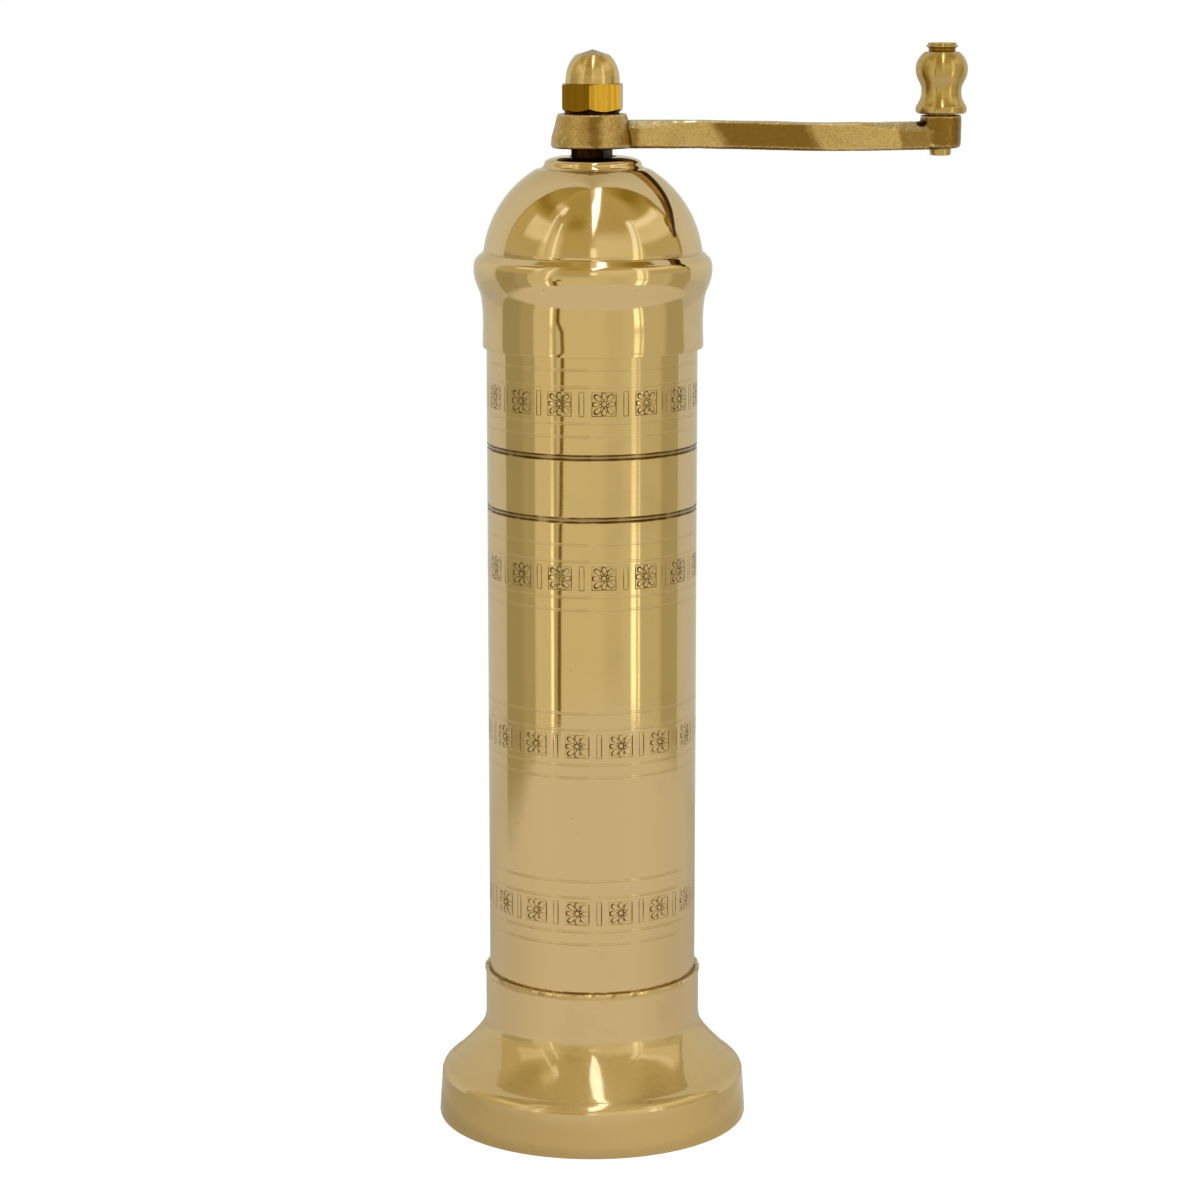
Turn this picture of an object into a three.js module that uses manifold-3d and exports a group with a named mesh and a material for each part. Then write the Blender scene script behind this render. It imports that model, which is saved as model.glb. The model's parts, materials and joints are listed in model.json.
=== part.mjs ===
import * as THREE from 'three';
import { mergeVertices } from 'three/addons/utils/BufferGeometryUtils.js';
import Module from 'manifold-3d';

// Crank-driven salt mill. Millimetres, +Z up, the foot stands on z = 0 and the crank points along +X.
// The spindle carries the inner burr inside the outer burr. The adjusting screw below lifts it.
// Pieces are modelled about the tube's axis. The origin is then set to the middle of foot and crank.

// Clearances between pieces
const seat = 0.3; // between two faces that rest on each other
const slip = 0.15; // radial, sheet sleeve over the body tube
const running = 0.1; // radial, round shaft in its bush
const loose = 0.25; // radial, screw or pin in a drilled hole

// Body tube
const tubeRadius = 22.2;
const tubeWall = 1.2;
const tubeShown = 134.8; // length that shows between foot and cap

// Foot, a hollow flared casting with a thin collar
const footHeight = 32.8;
const footRadius = 33.3;
const footWall = 1.5;
const rimHeight = 9.6;
const rimWall = 2.6;
const rimDraft = 0.6; // the rim is this much wider at the table
const collarWall = 0.7;
const collarDepth = 11.8; // how far the tube sits in the collar
const flareRun = 4.8; // radial width of the rounded shoulder over the rim
const shoulderHeight = 4.5; // height of that shoulder
const ledgeWidth = 0.9; // how far the ledge reaches in past the tube

// Cap, spun in one piece: skirt, cove, bead, dome and boss
const skirtWall = 0.75;
const skirtHeight = 7.4;
const coveHeight = 6.8;
const beadReach = 1.9; // bead beyond the skirt
const beadHeight = 5.8;
const domeOverhang = 0.9; // dome beyond the tube
const domeWall = 1.2;
const bossRadius = 12;
const bossHeight = 2.7;
const bossTopRadius = 6.9;
const domeRise = 0.119; // height of the dome's edge over its centre, as a share of its radius
const seatDepth = 1.1; // the inner seat on the tube, below the bead's top
const shaftClearance = 0.3; // between the square's corners and the cap's hole

// Burrs
const burrHeight = 13;
const burrWall = 7.8; // outer burr, from its rim to its tooth tips at the lower face
const burrSlope = 0.42; // radius lost for each millimetre up
const grindHeight = 5.2;
const grindTeeth = 24;
const grindDepth = 0.7;
const grindTwist = 0.2; // radians over the toothed height
const throatFlare = 1.4; // how far the throat opens from the waist up
const feedBlades = 8;
const feedDepth = 1.6;
const innerDrop = 1.4; // the inner burr's lower face below the outer burr's
const crushHeight = 3.6;
const crushTop = 7;
const neckRadius = 5.6;
const neckHeight = 1.4;
const finestGap = 0.35; // between the burrs' tips at the finest grind
const burrFit = 0.2; // radial, outer burr in the tube
const legClearance = 0.5; // between the inner burr and the straps' legs
const headClearance = 0.4; // between the straps' legs and the screw heads
const adjustTravel = 1.6; // rise of the spindle from the coarsest to the finest grind

// Spindle
const journalRadius = 3.2;
const squareSide = 6.7;
const topSquareSide = 6;
const threadRadius = 3;
const squareTurn = THREE.MathUtils.degToRad(-17.3); // how the square stands to the crank
const spindleTail = 2.4; // spindle below the inner burr
const crossPinRadius = 1;
const crossPinInset = 0.5; // the pin ends this far inside the burr's neck
const squareRise = 1; // journal showing above the bush
const threadShare = 0.55; // how far up the nut's dome the thread reaches

// Bridges, bush, spring and thrust parts
const strapThickness = 1.5;
const guideRise = 9.7;
const carrierDrop = 8.2;
const bushWall = 1;
const strapLand = 1.3; // strap left beside a bush
const bushLength = 4.2;
const flangeThickness = 1.2;
const flangeReach = 1.4;
const wireRadius = 0.55;
const springTurns = 5;
const springClearance = 0.95; // between journal and coil
const washerThickness = 0.8;
const washerRim = 0.6; // spring washer beyond the coil
const ballRadius = 1.5;
const ballSink = 0.6; // share of the ball's radius that the spindle's end takes in

// Screws
const strapScrewRadius = 1;
const strapScrewLength = 6;
const strapScrewHead = 1.7;
const strapScrewHeadHeight = 1.4;
const slotWidth = 0.6;
const adjusterRadius = 3;
const adjusterHeadRadius = 7.5;
const adjusterHeadHeight = 4;
const adjusterFlutes = 24;
const fluteDepth = 0.5;
const adjusterClearance = 2; // open thread between the boss and the thumb head

// Crank, nut and knob
const hubGap = 1.7; // spindle showing between cap and crank
const hubHeight = 7.1;
const hubRadius = 8.6;
const hubTopRadius = 7.4;
const crankThrow = 72.5;
const armHeight = 5.7;
const armDepth = 5.8;
const armSwing = 1.6; // how far the arm bows to each side
const armSag = 0.6;
const armBevel = 1.9;
const endBossRadius = 4.25;
const endBossDrop = 0.2; // the end boss starts this much below the hub
const endBossHeight = 6.7;
const nutAcross = 12;
const nutHexHeight = 4.8;
const nutDomeRadius = 5.7;
const nutDomeHeight = 7.1;
const nutTurn = THREE.MathUtils.degToRad(-95.8); // where the nut stopped when it was tightened
const nutWasherRadius = 5.7;
const nutWasherThickness = 0.4;
const knobPinRadius = 2.25;
const pinTail = 1.3;
const knobHeight = 12.7;
const knobRadius = 5.45;
const knobWaist = 4.15;
const knobFlange = 5.35;
const knobTopRadius = 3.8;
const pinHeadRadius = 3.3;
const pinHeadHeight = 1.85;

// Facets around a turned piece
const wideFacets = 48;
const smallFacets = 24;

// Levels and radii that follow from the sizes
const tubeInner = tubeRadius - tubeWall;
const collarRadius = tubeRadius + slip + collarWall;
const tubeBottom = footHeight - collarDepth;
const ledgeZ = tubeBottom - seat;
const ledgeRadius = tubeInner - ledgeWidth;
const skirtZ = footHeight + tubeShown;
const skirtRadius = tubeRadius + slip + skirtWall;
const beadRadius = skirtRadius + beadReach;
const domeRadius = tubeRadius + domeOverhang;
const beadTop = skirtHeight + coveHeight + beadHeight;
const domeCentre = beadTop - domeRadius * domeRise;
const capSeat = beadTop - seatDepth;
const bossBase = domeCentre + Math.sqrt(domeRadius ** 2 - bossRadius ** 2);
const capHeight = bossBase + bossHeight;
const capHole = squareSide / Math.SQRT2 + shaftClearance;
const tubeTop = skirtZ + capSeat - seat;

const burrRadius = tubeInner - burrFit;
const burrTop = tubeBottom + burrHeight;
const grindTop = tubeBottom + grindHeight;
const burrMouth = burrRadius - burrWall;
const waistRadius = burrMouth - burrSlope * grindHeight;
const throatRadius = waistRadius + throatFlare;
const innerBottom = tubeBottom - innerDrop;
const innerGrindHeight = grindHeight + innerDrop;
const innerMouth = burrMouth - burrSlope * (adjustTravel - innerDrop) - finestGap;
const innerWaist = innerMouth - burrSlope * innerGrindHeight;
const legBend = innerMouth + legClearance + strapThickness / 2; // the legs leave their feet here
const screwCircle = legBend + strapThickness / 2 + strapScrewHead + headClearance;
const crushZ = innerBottom + innerGrindHeight;
const neckTop = crushZ + crushHeight + neckHeight;
const crossPinZ = neckTop - neckHeight - crossPinRadius;

const washerZ = neckTop + seat;
const guideFootZ = burrTop + seat;
const guideSpanZ = guideFootZ + guideRise;
const bushFlangeZ = guideSpanZ - seat - flangeThickness;
const bushRadius = journalRadius + running + bushWall;
const guideWidth = 2 * (bushRadius + loose + strapLand);
const springRadius = journalRadius + springClearance + wireRadius;
const springBottom = washerZ + washerThickness + seat + wireRadius;
const springTop = bushFlangeZ - seat - wireRadius;

const spindleBottom = innerBottom - spindleTail;
const ballRecess = ballRadius + loose;
const ballRecessTop = spindleBottom + ballRadius * ballSink;
const ballZ = ballRecessTop - seat - ballRadius;
const adjusterTip = ballZ - ballRadius - seat;
const carrierFootZ = tubeBottom - seat - strapThickness;
const carrierSpanZ = carrierFootZ - carrierDrop;
const bossFlangeZ = carrierSpanZ - seat - flangeThickness;
const threadedBossRadius = adjusterRadius + running + bushWall;
const carrierWidth = 2 * (threadedBossRadius + loose + strapLand);
const adjusterHeadTop = bossFlangeZ - adjusterClearance;

const hubZ = skirtZ + capHeight + hubGap;
const squareBase = bushFlangeZ + flangeThickness + bushLength + squareRise;
const nutWasherZ = hubZ + hubHeight + seat;
const nutZ = nutWasherZ + nutWasherThickness + seat;
const threadTop = nutZ + nutHexHeight + nutDomeHeight * threadShare;
const endBossZ = hubZ - endBossDrop;
const knobZ = endBossZ + endBossHeight + seat;

const wasm = await Module();
wasm.setup();

const at = (radius, z) => new THREE.Vector2(radius, z);

// A closed geometry as a solid that can be joined and cut
function solid(geometry) {
  const bare = new THREE.BufferGeometry();
  bare.setAttribute('position', geometry.getAttribute('position'));
  bare.setIndex(geometry.getIndex());
  const merged = mergeVertices(bare, 1e-4);
  const corners = merged.getIndex().array;
  const kept = [];
  for (let i = 0; i < corners.length; i += 3) {
    const [a, b, c] = [corners[i], corners[i + 1], corners[i + 2]];
    if (a !== b && b !== c && c !== a) kept.push(a, b, c);
  }
  const mesh = new wasm.Mesh({
    numProp: 3,
    vertProperties: merged.getAttribute('position').array,
    triVerts: new Uint32Array(kept),
  });
  return new wasm.Manifold(mesh);
}

// The surface of a solid, for a mesh of the scene
function surface(body) {
  const { vertProperties, triVerts } = body.getMesh();
  const geometry = new THREE.BufferGeometry();
  geometry.setAttribute('position', new THREE.BufferAttribute(vertProperties, 3));
  geometry.setIndex(new THREE.BufferAttribute(triVerts, 1));
  geometry.computeVertexNormals();
  return geometry;
}

// Solid turned about Z. The outline runs up the outside and down the inside, or from axis to axis.
function turned(outline, facets = smallFacets) {
  const onAxis = outline[0].x === 0 && outline[outline.length - 1].x === 0;
  const points = onAxis ? outline : [...outline, outline[0]];
  const geometry = new THREE.LatheGeometry(points, facets);
  geometry.rotateX(Math.PI / 2);
  return solid(geometry);
}

// Round bar from one level to another
function bar(radius, bottom, top, facets = smallFacets) {
  return turned([at(0, bottom), at(radius, bottom), at(radius, top), at(0, top)], facets);
}

// Square bar, turned about Z
function squareBar(side, bottom, top, turn) {
  const geometry = new THREE.BoxGeometry(side, side, top - bottom);
  geometry.translate(0, 0, (top + bottom) / 2);
  geometry.rotateZ(turn);
  return solid(geometry);
}

// Closed skin through rings of as many points, counted anticlockwise and rising
function loft(rings) {
  const count = rings[0].length;
  const ends = [rings[0], rings[rings.length - 1]];
  const centres = ends.map((ring) =>
    ring.reduce((sum, p) => sum.add(p), new THREE.Vector3()).divideScalar(count));
  const positions = [...rings.flat(), ...centres].flatMap((p) => [p.x, p.y, p.z]);
  const index = [];
  const last = (rings.length - 1) * count;
  for (let i = 0; i < count; i += 1) {
    const next = (i + 1) % count;
    for (let k = 0; k < last; k += count) {
      index.push(k + i, k + next, k + next + count);
      index.push(k + i, k + next + count, k + i + count);
    }
    index.push(last + count, next, i);
    index.push(last + count + 1, last + i, last + next);
  }
  const geometry = new THREE.BufferGeometry();
  geometry.setAttribute('position', new THREE.Float32BufferAttribute(positions, 3));
  geometry.setIndex(index);
  return solid(geometry);
}

// One level of saw teeth: each has a land at the tip, a steep back and a sloping face
function toothRing(tip, root, teeth, turn, z) {
  const ring = [];
  for (let tooth = 0; tooth < teeth; tooth += 1) {
    for (const [share, radius] of [[0, tip], [0.18, tip], [0.4, root]]) {
      const angle = turn + ((tooth + share) / teeth) * 2 * Math.PI;
      ring.push(new THREE.Vector3(radius * Math.cos(angle), radius * Math.sin(angle), z));
    }
  }
  return ring;
}

// Toothed cone between two levels. A negative depth points the teeth inward, for cutting a bore.
function toothedCone({ bottom, top, bottomTip, topTip, depth, teeth, twist }) {
  return loft([
    toothRing(bottomTip, bottomTip - depth, teeth, 0, bottom),
    toothRing(topTip, topTip - depth, teeth, twist, top),
  ]);
}

// Bent strip of metal, standing in the XZ plane and centred on it
function strap(bends, width) {
  const side = (sign) => bends.map((p, i) => {
    const before = bends[Math.max(i - 1, 0)];
    const after = bends[Math.min(i + 1, bends.length - 1)];
    const into = p.clone().sub(before).normalize();
    const out = after.clone().sub(p).normalize();
    const along = into.add(out).normalize();
    const run = (i < bends.length - 1 ? after.clone().sub(p) : p.clone().sub(before)).normalize();
    const mitre = (sign * strapThickness) / 2 / along.dot(run);
    return new THREE.Vector2(p.x - along.y * mitre, p.y + along.x * mitre);
  });
  const outline = new THREE.Shape([...side(1), ...side(-1).reverse()]);
  const geometry = new THREE.ExtrudeGeometry(outline, { depth: width, bevelEnabled: false });
  geometry.rotateX(Math.PI / 2);
  geometry.translate(0, width / 2, 0);
  return solid(geometry);
}

// Foot: the wall follows the outside, and a ledge inside carries the tube and the outer burr
function footGeometry() {
  const flareTop = ledgeZ - footWall * 0.6;
  const flareEnd = at(footRadius - flareRun, rimHeight + shoulderHeight);
  const outside = new THREE.Path();
  outside.moveTo(footRadius, 0);
  outside.lineTo(footRadius - rimDraft, rimHeight);
  outside.lineTo(footRadius - rimDraft - 0.25, rimHeight + 0.5);
  outside.quadraticCurveTo(footRadius - 1.6, rimHeight + 2, flareEnd.x, flareEnd.y);
  outside.lineTo(collarRadius + 1.2, flareTop - 1.1);
  outside.quadraticCurveTo(collarRadius + 0.05, flareTop, collarRadius, flareTop + 2);
  outside.lineTo(collarRadius, footHeight);
  const inside = new THREE.Path();
  inside.moveTo(tubeRadius + slip, footHeight);
  inside.lineTo(tubeRadius + slip, ledgeZ);
  inside.lineTo(ledgeRadius, ledgeZ);
  inside.lineTo(ledgeRadius, ledgeZ - 0.8);
  inside.lineTo(collarRadius - footWall, flareTop - footWall * 0.6);
  inside.lineTo(flareEnd.x - footWall, flareEnd.y - footWall * 0.7);
  inside.quadraticCurveTo(
    footRadius - rimWall - 0.9, rimHeight + 0.4, footRadius - rimWall, rimHeight - 2.4);
  inside.lineTo(footRadius - rimWall, 0);
  return turned([...outside.getPoints(5), ...inside.getPoints(3)], wideFacets);
}

function tubeGeometry() {
  return turned([
    at(tubeRadius, tubeBottom), at(tubeRadius, tubeTop),
    at(tubeInner, tubeTop), at(tubeInner, tubeBottom),
  ], wideFacets);
}

// Cap, from its skirt's lower edge. A ledge under the dome rests on the tube.
function capGeometry() {
  const coveTop = skirtHeight + coveHeight;
  const domeStart = Math.asin((beadTop - domeCentre) / domeRadius);
  const domeEnd = Math.acos(bossRadius / domeRadius);
  const outside = new THREE.Path();
  outside.moveTo(skirtRadius, 0);
  outside.lineTo(skirtRadius, skirtHeight);
  outside.quadraticCurveTo(skirtRadius + 0.1, skirtHeight + 4.2, beadRadius - 0.45, coveTop);
  outside.quadraticCurveTo(beadRadius + 0.3, coveTop + 2.2, beadRadius - 0.1, coveTop + 3.4);
  outside.quadraticCurveTo(
    beadRadius - 0.4, beadTop - 0.7, domeRadius * Math.cos(domeStart), beadTop);
  outside.absarc(0, domeCentre, domeRadius, domeStart, domeEnd, false);
  outside.quadraticCurveTo(bossRadius - 1.8, bossBase + 0.4, bossRadius - 1.9, bossBase + 1.3);
  outside.quadraticCurveTo(bossRadius - 2.2, capHeight - 0.4, bossTopRadius, capHeight);
  const innerRadius = domeRadius - domeWall;
  const innerStart = Math.asin((capSeat - domeCentre) / innerRadius);
  const innerEnd = Math.acos((capHole + 1.6) / innerRadius);
  const inside = new THREE.Path();
  inside.moveTo(capHole, capHeight);
  inside.lineTo(capHole, domeCentre + innerRadius - 0.1);
  inside.absarc(0, domeCentre, innerRadius, innerEnd, innerStart, true);
  inside.lineTo(beadRadius - 1.9, capSeat);
  inside.quadraticCurveTo(beadRadius - 0.9, coveTop + 2.6, beadRadius - 1.2, coveTop);
  inside.quadraticCurveTo(
    tubeRadius + slip + 0.1, skirtHeight + 4.2, tubeRadius + slip, skirtHeight);
  inside.lineTo(tubeRadius + slip, 0);
  return turned([...outside.getPoints(4), ...inside.getPoints(3)], wideFacets);
}

// Outer burr: fine grinding teeth below, coarse feeding teeth in the throat above
function outerBurrGeometry() {
  const blank = turned([
    at(0, tubeBottom), at(burrRadius, tubeBottom), at(burrRadius, burrTop), at(0, burrTop),
  ], wideFacets);
  const past = 0.5;
  const grind = toothedCone({
    bottom: tubeBottom - past,
    top: grindTop + past,
    bottomTip: burrMouth + burrSlope * past,
    topTip: waistRadius - burrSlope * past,
    depth: -grindDepth,
    teeth: grindTeeth,
    twist: grindTwist,
  });
  const feed = toothedCone({
    bottom: grindTop - past,
    top: burrTop + past,
    bottomTip: waistRadius - grindDepth,
    topTip: throatRadius,
    depth: -feedDepth,
    teeth: feedBlades * 2,
    twist: grindTwist,
  });
  let burr = blank.subtract(grind).subtract(feed);
  for (const side of [-1, 1]) {
    const depth = strapScrewLength - strapThickness;
    const hole = strapScrewRadius + loose;
    const upper = bar(hole, burrTop - depth, burrTop + 1, 12).translate(side * screwCircle, 0, 0);
    const lower = bar(hole, tubeBottom - 1, tubeBottom + depth, 12);
    burr = burr.subtract(upper).subtract(lower.translate(side * screwCircle, 0, 0));
  }
  return burr;
}

// Inner burr: fine grinding cone, a crushing cone with coarse blades, and a cross-drilled neck
function innerBurrGeometry() {
  const grind = toothedCone({
    bottom: innerBottom,
    top: crushZ,
    bottomTip: innerMouth,
    topTip: innerWaist,
    depth: grindDepth,
    teeth: grindTeeth,
    twist: -grindTwist,
  });
  const crush = toothedCone({
    bottom: crushZ - 0.5,
    top: crushZ + crushHeight,
    bottomTip: innerWaist - grindDepth,
    topTip: crushTop,
    depth: feedDepth,
    teeth: feedBlades,
    twist: -grindTwist * 3,
  });
  const neck = bar(neckRadius, innerBottom + 1, neckTop);
  const bore = bar(journalRadius + running, innerBottom - 1, neckTop + 1);
  const pinHole = crossPin(crossPinRadius + loose, neckRadius * 4);
  return grind.add(crush).add(neck).subtract(bore).subtract(pinHole);
}

// Bar along X at the cross pin's level
function crossPin(radius, length) {
  const geometry = new THREE.CylinderGeometry(radius, radius, length, 12);
  geometry.rotateZ(Math.PI / 2);
  geometry.translate(0, 0, crossPinZ);
  return solid(geometry);
}

// Spindle: journal, square, shoulder under the crank, smaller square and thread
function spindleGeometry() {
  const shoulder = hubZ - seat;
  const topSquareEnd = hubZ + hubHeight - seat;
  const journal = bar(journalRadius, spindleBottom, squareBase + 1);
  const square = squareBar(squareSide, squareBase, shoulder, squareTurn);
  const topSquare = squareBar(topSquareSide, shoulder - 1, topSquareEnd, squareTurn);
  const thread = turned([
    at(0, topSquareEnd - 1), at(threadRadius, topSquareEnd - 1),
    at(threadRadius, threadTop - 0.8), at(threadRadius - 0.8, threadTop), at(0, threadTop),
  ]);
  const recess = bar(ballRecess, spindleBottom - 1, ballRecessTop);
  const pinHole = crossPin(crossPinRadius + loose, journalRadius * 4);
  return journal.add(square).add(topSquare).add(thread).subtract(recess).subtract(pinHole);
}

// Upper strap: feet on the outer burr, legs up, and a span that holds the bush
function guideBridgeGeometry() {
  const middle = guideFootZ + strapThickness / 2;
  const top = guideSpanZ + strapThickness / 2;
  const end = Math.sqrt((burrRadius - 0.6) ** 2 - (guideWidth / 2) ** 2);
  const bends = [
    at(-end, middle), at(-legBend, middle), at(-legBend + 3, top),
    at(legBend - 3, top), at(legBend, middle), at(end, middle),
  ];
  const holes = screwHoles(guideFootZ);
  const bushHole = bar(bushRadius + loose, guideSpanZ - 1, guideSpanZ + strapThickness + 1);
  return strap(bends, guideWidth).subtract(holes).subtract(bushHole);
}

// Lower strap: feet under the outer burr, legs down, and a span that holds the threaded boss
function carrierBridgeGeometry() {
  const middle = carrierFootZ + strapThickness / 2;
  const low = carrierSpanZ + strapThickness / 2;
  const end = Math.sqrt((ledgeRadius - seat) ** 2 - (carrierWidth / 2) ** 2);
  const bends = [
    at(-end, middle), at(-legBend, middle), at(-legBend + 1, low),
    at(legBend - 1, low), at(legBend, middle), at(end, middle),
  ];
  const holes = screwHoles(carrierFootZ);
  const bossHole = bar(threadedBossRadius + loose, carrierSpanZ - 1, carrierSpanZ + 3);
  return strap(bends, carrierWidth).subtract(holes).subtract(bossHole);
}

// The two screw holes through a strap's feet
function screwHoles(footZ) {
  const hole = bar(strapScrewRadius + loose, footZ - 1, footZ + strapThickness + 1, 12);
  return hole.translate(-screwCircle, 0, 0).add(hole.translate(screwCircle, 0, 0));
}

// Flanged bush from its flange's lower face
function bushGeometry(bore, radius) {
  const flange = radius + flangeReach;
  const top = flangeThickness + bushLength;
  return turned([
    at(flange, 0), at(flange, flangeThickness), at(radius, flangeThickness), at(radius, top),
    at(bore, top), at(bore, 0),
  ]);
}

// Slotted screw from under its head: the head above, the shank below
function strapScrewGeometry() {
  const rounding = 0.4;
  const screw = turned([
    at(0, -strapScrewLength), at(strapScrewRadius - rounding, -strapScrewLength),
    at(strapScrewRadius, -strapScrewLength + rounding), at(strapScrewRadius, 0),
    at(strapScrewHead, 0), at(strapScrewHead, strapScrewHeadHeight - rounding),
    at(strapScrewHead - rounding, strapScrewHeadHeight), at(0, strapScrewHeadHeight),
  ], 16);
  const slot = new THREE.BoxGeometry(strapScrewHead * 3, slotWidth, strapScrewHeadHeight);
  slot.translate(0, 0, strapScrewHeadHeight);
  return screw.subtract(solid(slot));
}

// Thumb screw: a plain shank over a fluted head with a coin slot
function adjusterGeometry() {
  const bottom = adjusterHeadTop - adjusterHeadHeight;
  const root = adjusterHeadRadius - fluteDepth;
  const turn = Math.PI / adjusterFlutes;
  const head = loft([
    toothRing(root, root - 0.3, adjusterFlutes, turn, bottom),
    toothRing(adjusterHeadRadius, root, adjusterFlutes, turn, bottom + 0.5),
    toothRing(adjusterHeadRadius, root, adjusterFlutes, turn, adjusterHeadTop - 0.5),
    toothRing(root, root - 0.3, adjusterFlutes, turn, adjusterHeadTop),
  ]);
  const shank = turned([
    at(0, bottom + 1), at(adjusterRadius, bottom + 1), at(adjusterRadius, adjusterTip - 0.6),
    at(adjusterRadius - 0.6, adjusterTip), at(0, adjusterTip),
  ]);
  const slot = new THREE.BoxGeometry(adjusterHeadRadius * 3, slotWidth * 2, 2);
  slot.translate(0, 0, bottom);
  return head.add(shank).subtract(solid(slot));
}

// Centre line of the spring's wire
class SpringCurve extends THREE.Curve {
  getPoint(t, target = new THREE.Vector3()) {
    const angle = t * springTurns * 2 * Math.PI;
    const z = springBottom + t * (springTop - springBottom);
    return target.set(springRadius * Math.cos(angle), springRadius * Math.sin(angle), z);
  }
}

function springGeometry() {
  const steps = springTurns * 8;
  const sides = 5;
  const section = new THREE.Shape();
  for (let i = 0; i < sides; i += 1) {
    const angle = (i / sides) * 2 * Math.PI;
    const corner = at(wireRadius * Math.cos(angle), wireRadius * Math.sin(angle));
    if (i === 0) section.moveTo(corner.x, corner.y);
    else section.lineTo(corner.x, corner.y);
  }
  const curve = new SpringCurve();
  const stations = curve.getPoints(steps);
  let least = Infinity;
  for (let i = 0; i < stations.length; i += 1) {
    for (let j = i + 5; j < stations.length; j += 1) {
      least = Math.min(least, stations[i].distanceTo(stations[j]) - 2 * wireRadius);
    }
  }
  console.log(`spring: least gap between curls ${least.toFixed(2)} mm`);
  const wire = { steps, extrudePath: curve, bevelEnabled: false };
  return solid(new THREE.ExtrudeGeometry(section, wire));
}

// Crank, cast in one piece: tapered hub, a bar that bows both ways, and the end boss
function crankGeometry() {
  const top = hubZ + hubHeight;
  const hub = turned([
    at(0, hubZ), at(hubRadius - 0.7, hubZ), at(hubRadius - 0.15, hubZ + 0.5),
    at(hubRadius, hubZ + 1.5), at(hubTopRadius + 0.1, top - 0.4), at(hubTopRadius - 0.3, top),
    at(0, top),
  ]);
  const boss = turned([
    at(0, endBossZ), at(endBossRadius - 0.6, endBossZ), at(endBossRadius, endBossZ + 0.6),
    at(endBossRadius, endBossZ + endBossHeight - 0.3),
    at(endBossRadius - 0.3, endBossZ + endBossHeight), at(0, endBossZ + endBossHeight),
  ]).translate(crankThrow, 0, 0);
  const arm = armGeometry();
  const squareHole = squareBar(topSquareSide + 2 * loose, hubZ - 1, top + 1, squareTurn);
  const pinHole = bar(knobPinRadius + loose / 2, endBossZ - 1, knobZ + 1)
    .translate(crankThrow, 0, 0);
  return hub.add(arm).add(boss).subtract(squareHole).subtract(pinHole);
}

function armGeometry() {
  const middle = hubZ + armHeight / 2;
  const line = new THREE.CatmullRomCurve3([
    new THREE.Vector3(0, 0, middle),
    new THREE.Vector3(crankThrow * 0.33, armSwing, middle - armSag * 0.2),
    new THREE.Vector3(crankThrow * 0.68, -armSwing, middle - armSag),
    new THREE.Vector3(crankThrow, 0, middle - armSag * 0.7),
  ]);
  const stations = 14;
  const low = -armHeight / 2;
  const high = armHeight / 2;
  const half = armDepth / 2;
  const rings = [];
  for (let i = 0; i <= stations; i += 1) {
    const share = 0.05 + (i / stations) * 0.93;
    const centre = line.getPointAt(share);
    const along = line.getTangentAt(share);
    const across = new THREE.Vector3(-along.y, along.x, 0).normalize();
    // the bevel on the top edges fades out along the middle of the bar
    const bevel = Math.max(0.4, armBevel * Math.cos(share * 2 * Math.PI));
    const section = [
      at(half - 0.4, low), at(half, low + 0.5), at(half, high - bevel), at(half - bevel * 0.6, high),
      at(-half + bevel * 0.6, high), at(-half, high - bevel), at(-half, low + 0.5),
      at(-half + 0.4, low),
    ];
    rings.push(section.map((p) =>
      centre.clone().addScaledVector(across, p.x).add(new THREE.Vector3(0, 0, p.y))));
  }
  return loft(rings);
}

function nutWasherGeometry() {
  const bore = threadRadius + loose;
  return turned([
    at(nutWasherRadius, 0), at(nutWasherRadius, nutWasherThickness),
    at(bore, nutWasherThickness), at(bore, 0),
  ]);
}

// Acorn nut from its lower face: chamfered hexagon, dome with a pointed tip, blind bore
function nutGeometry() {
  const cornerRadius = nutAcross / Math.sqrt(3);
  const hex = new THREE.CylinderGeometry(cornerRadius, cornerRadius, nutHexHeight, 6);
  hex.rotateX(Math.PI / 2);
  hex.rotateZ(nutTurn);
  hex.translate(0, 0, nutHexHeight / 2);
  const chamfer = turned([
    at(0, 0), at(nutAcross / 2, 0), at(cornerRadius + 0.05, 0.7),
    at(cornerRadius + 0.05, nutHexHeight - 0.3), at(nutAcross / 2, nutHexHeight),
    at(0, nutHexHeight),
  ]);
  const shape = new THREE.Path();
  shape.moveTo(nutDomeRadius, nutHexHeight - 0.5);
  shape.lineTo(nutDomeRadius - 0.15, nutHexHeight + nutDomeHeight * 0.25);
  shape.bezierCurveTo(
    nutDomeRadius - 0.4, nutHexHeight + nutDomeHeight * 0.6,
    nutDomeRadius * 0.72, nutHexHeight + nutDomeHeight * 0.85,
    nutDomeRadius * 0.33, nutHexHeight + nutDomeHeight * 0.955);
  shape.lineTo(0, nutHexHeight + nutDomeHeight);
  const dome = turned([at(0, nutHexHeight - 0.5), ...shape.getPoints(6)]);
  const bore = bar(threadRadius + loose, -1, threadTop - nutZ + seat);
  return solid(hex).intersect(chamfer).add(dome).subtract(bore);
}

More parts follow.
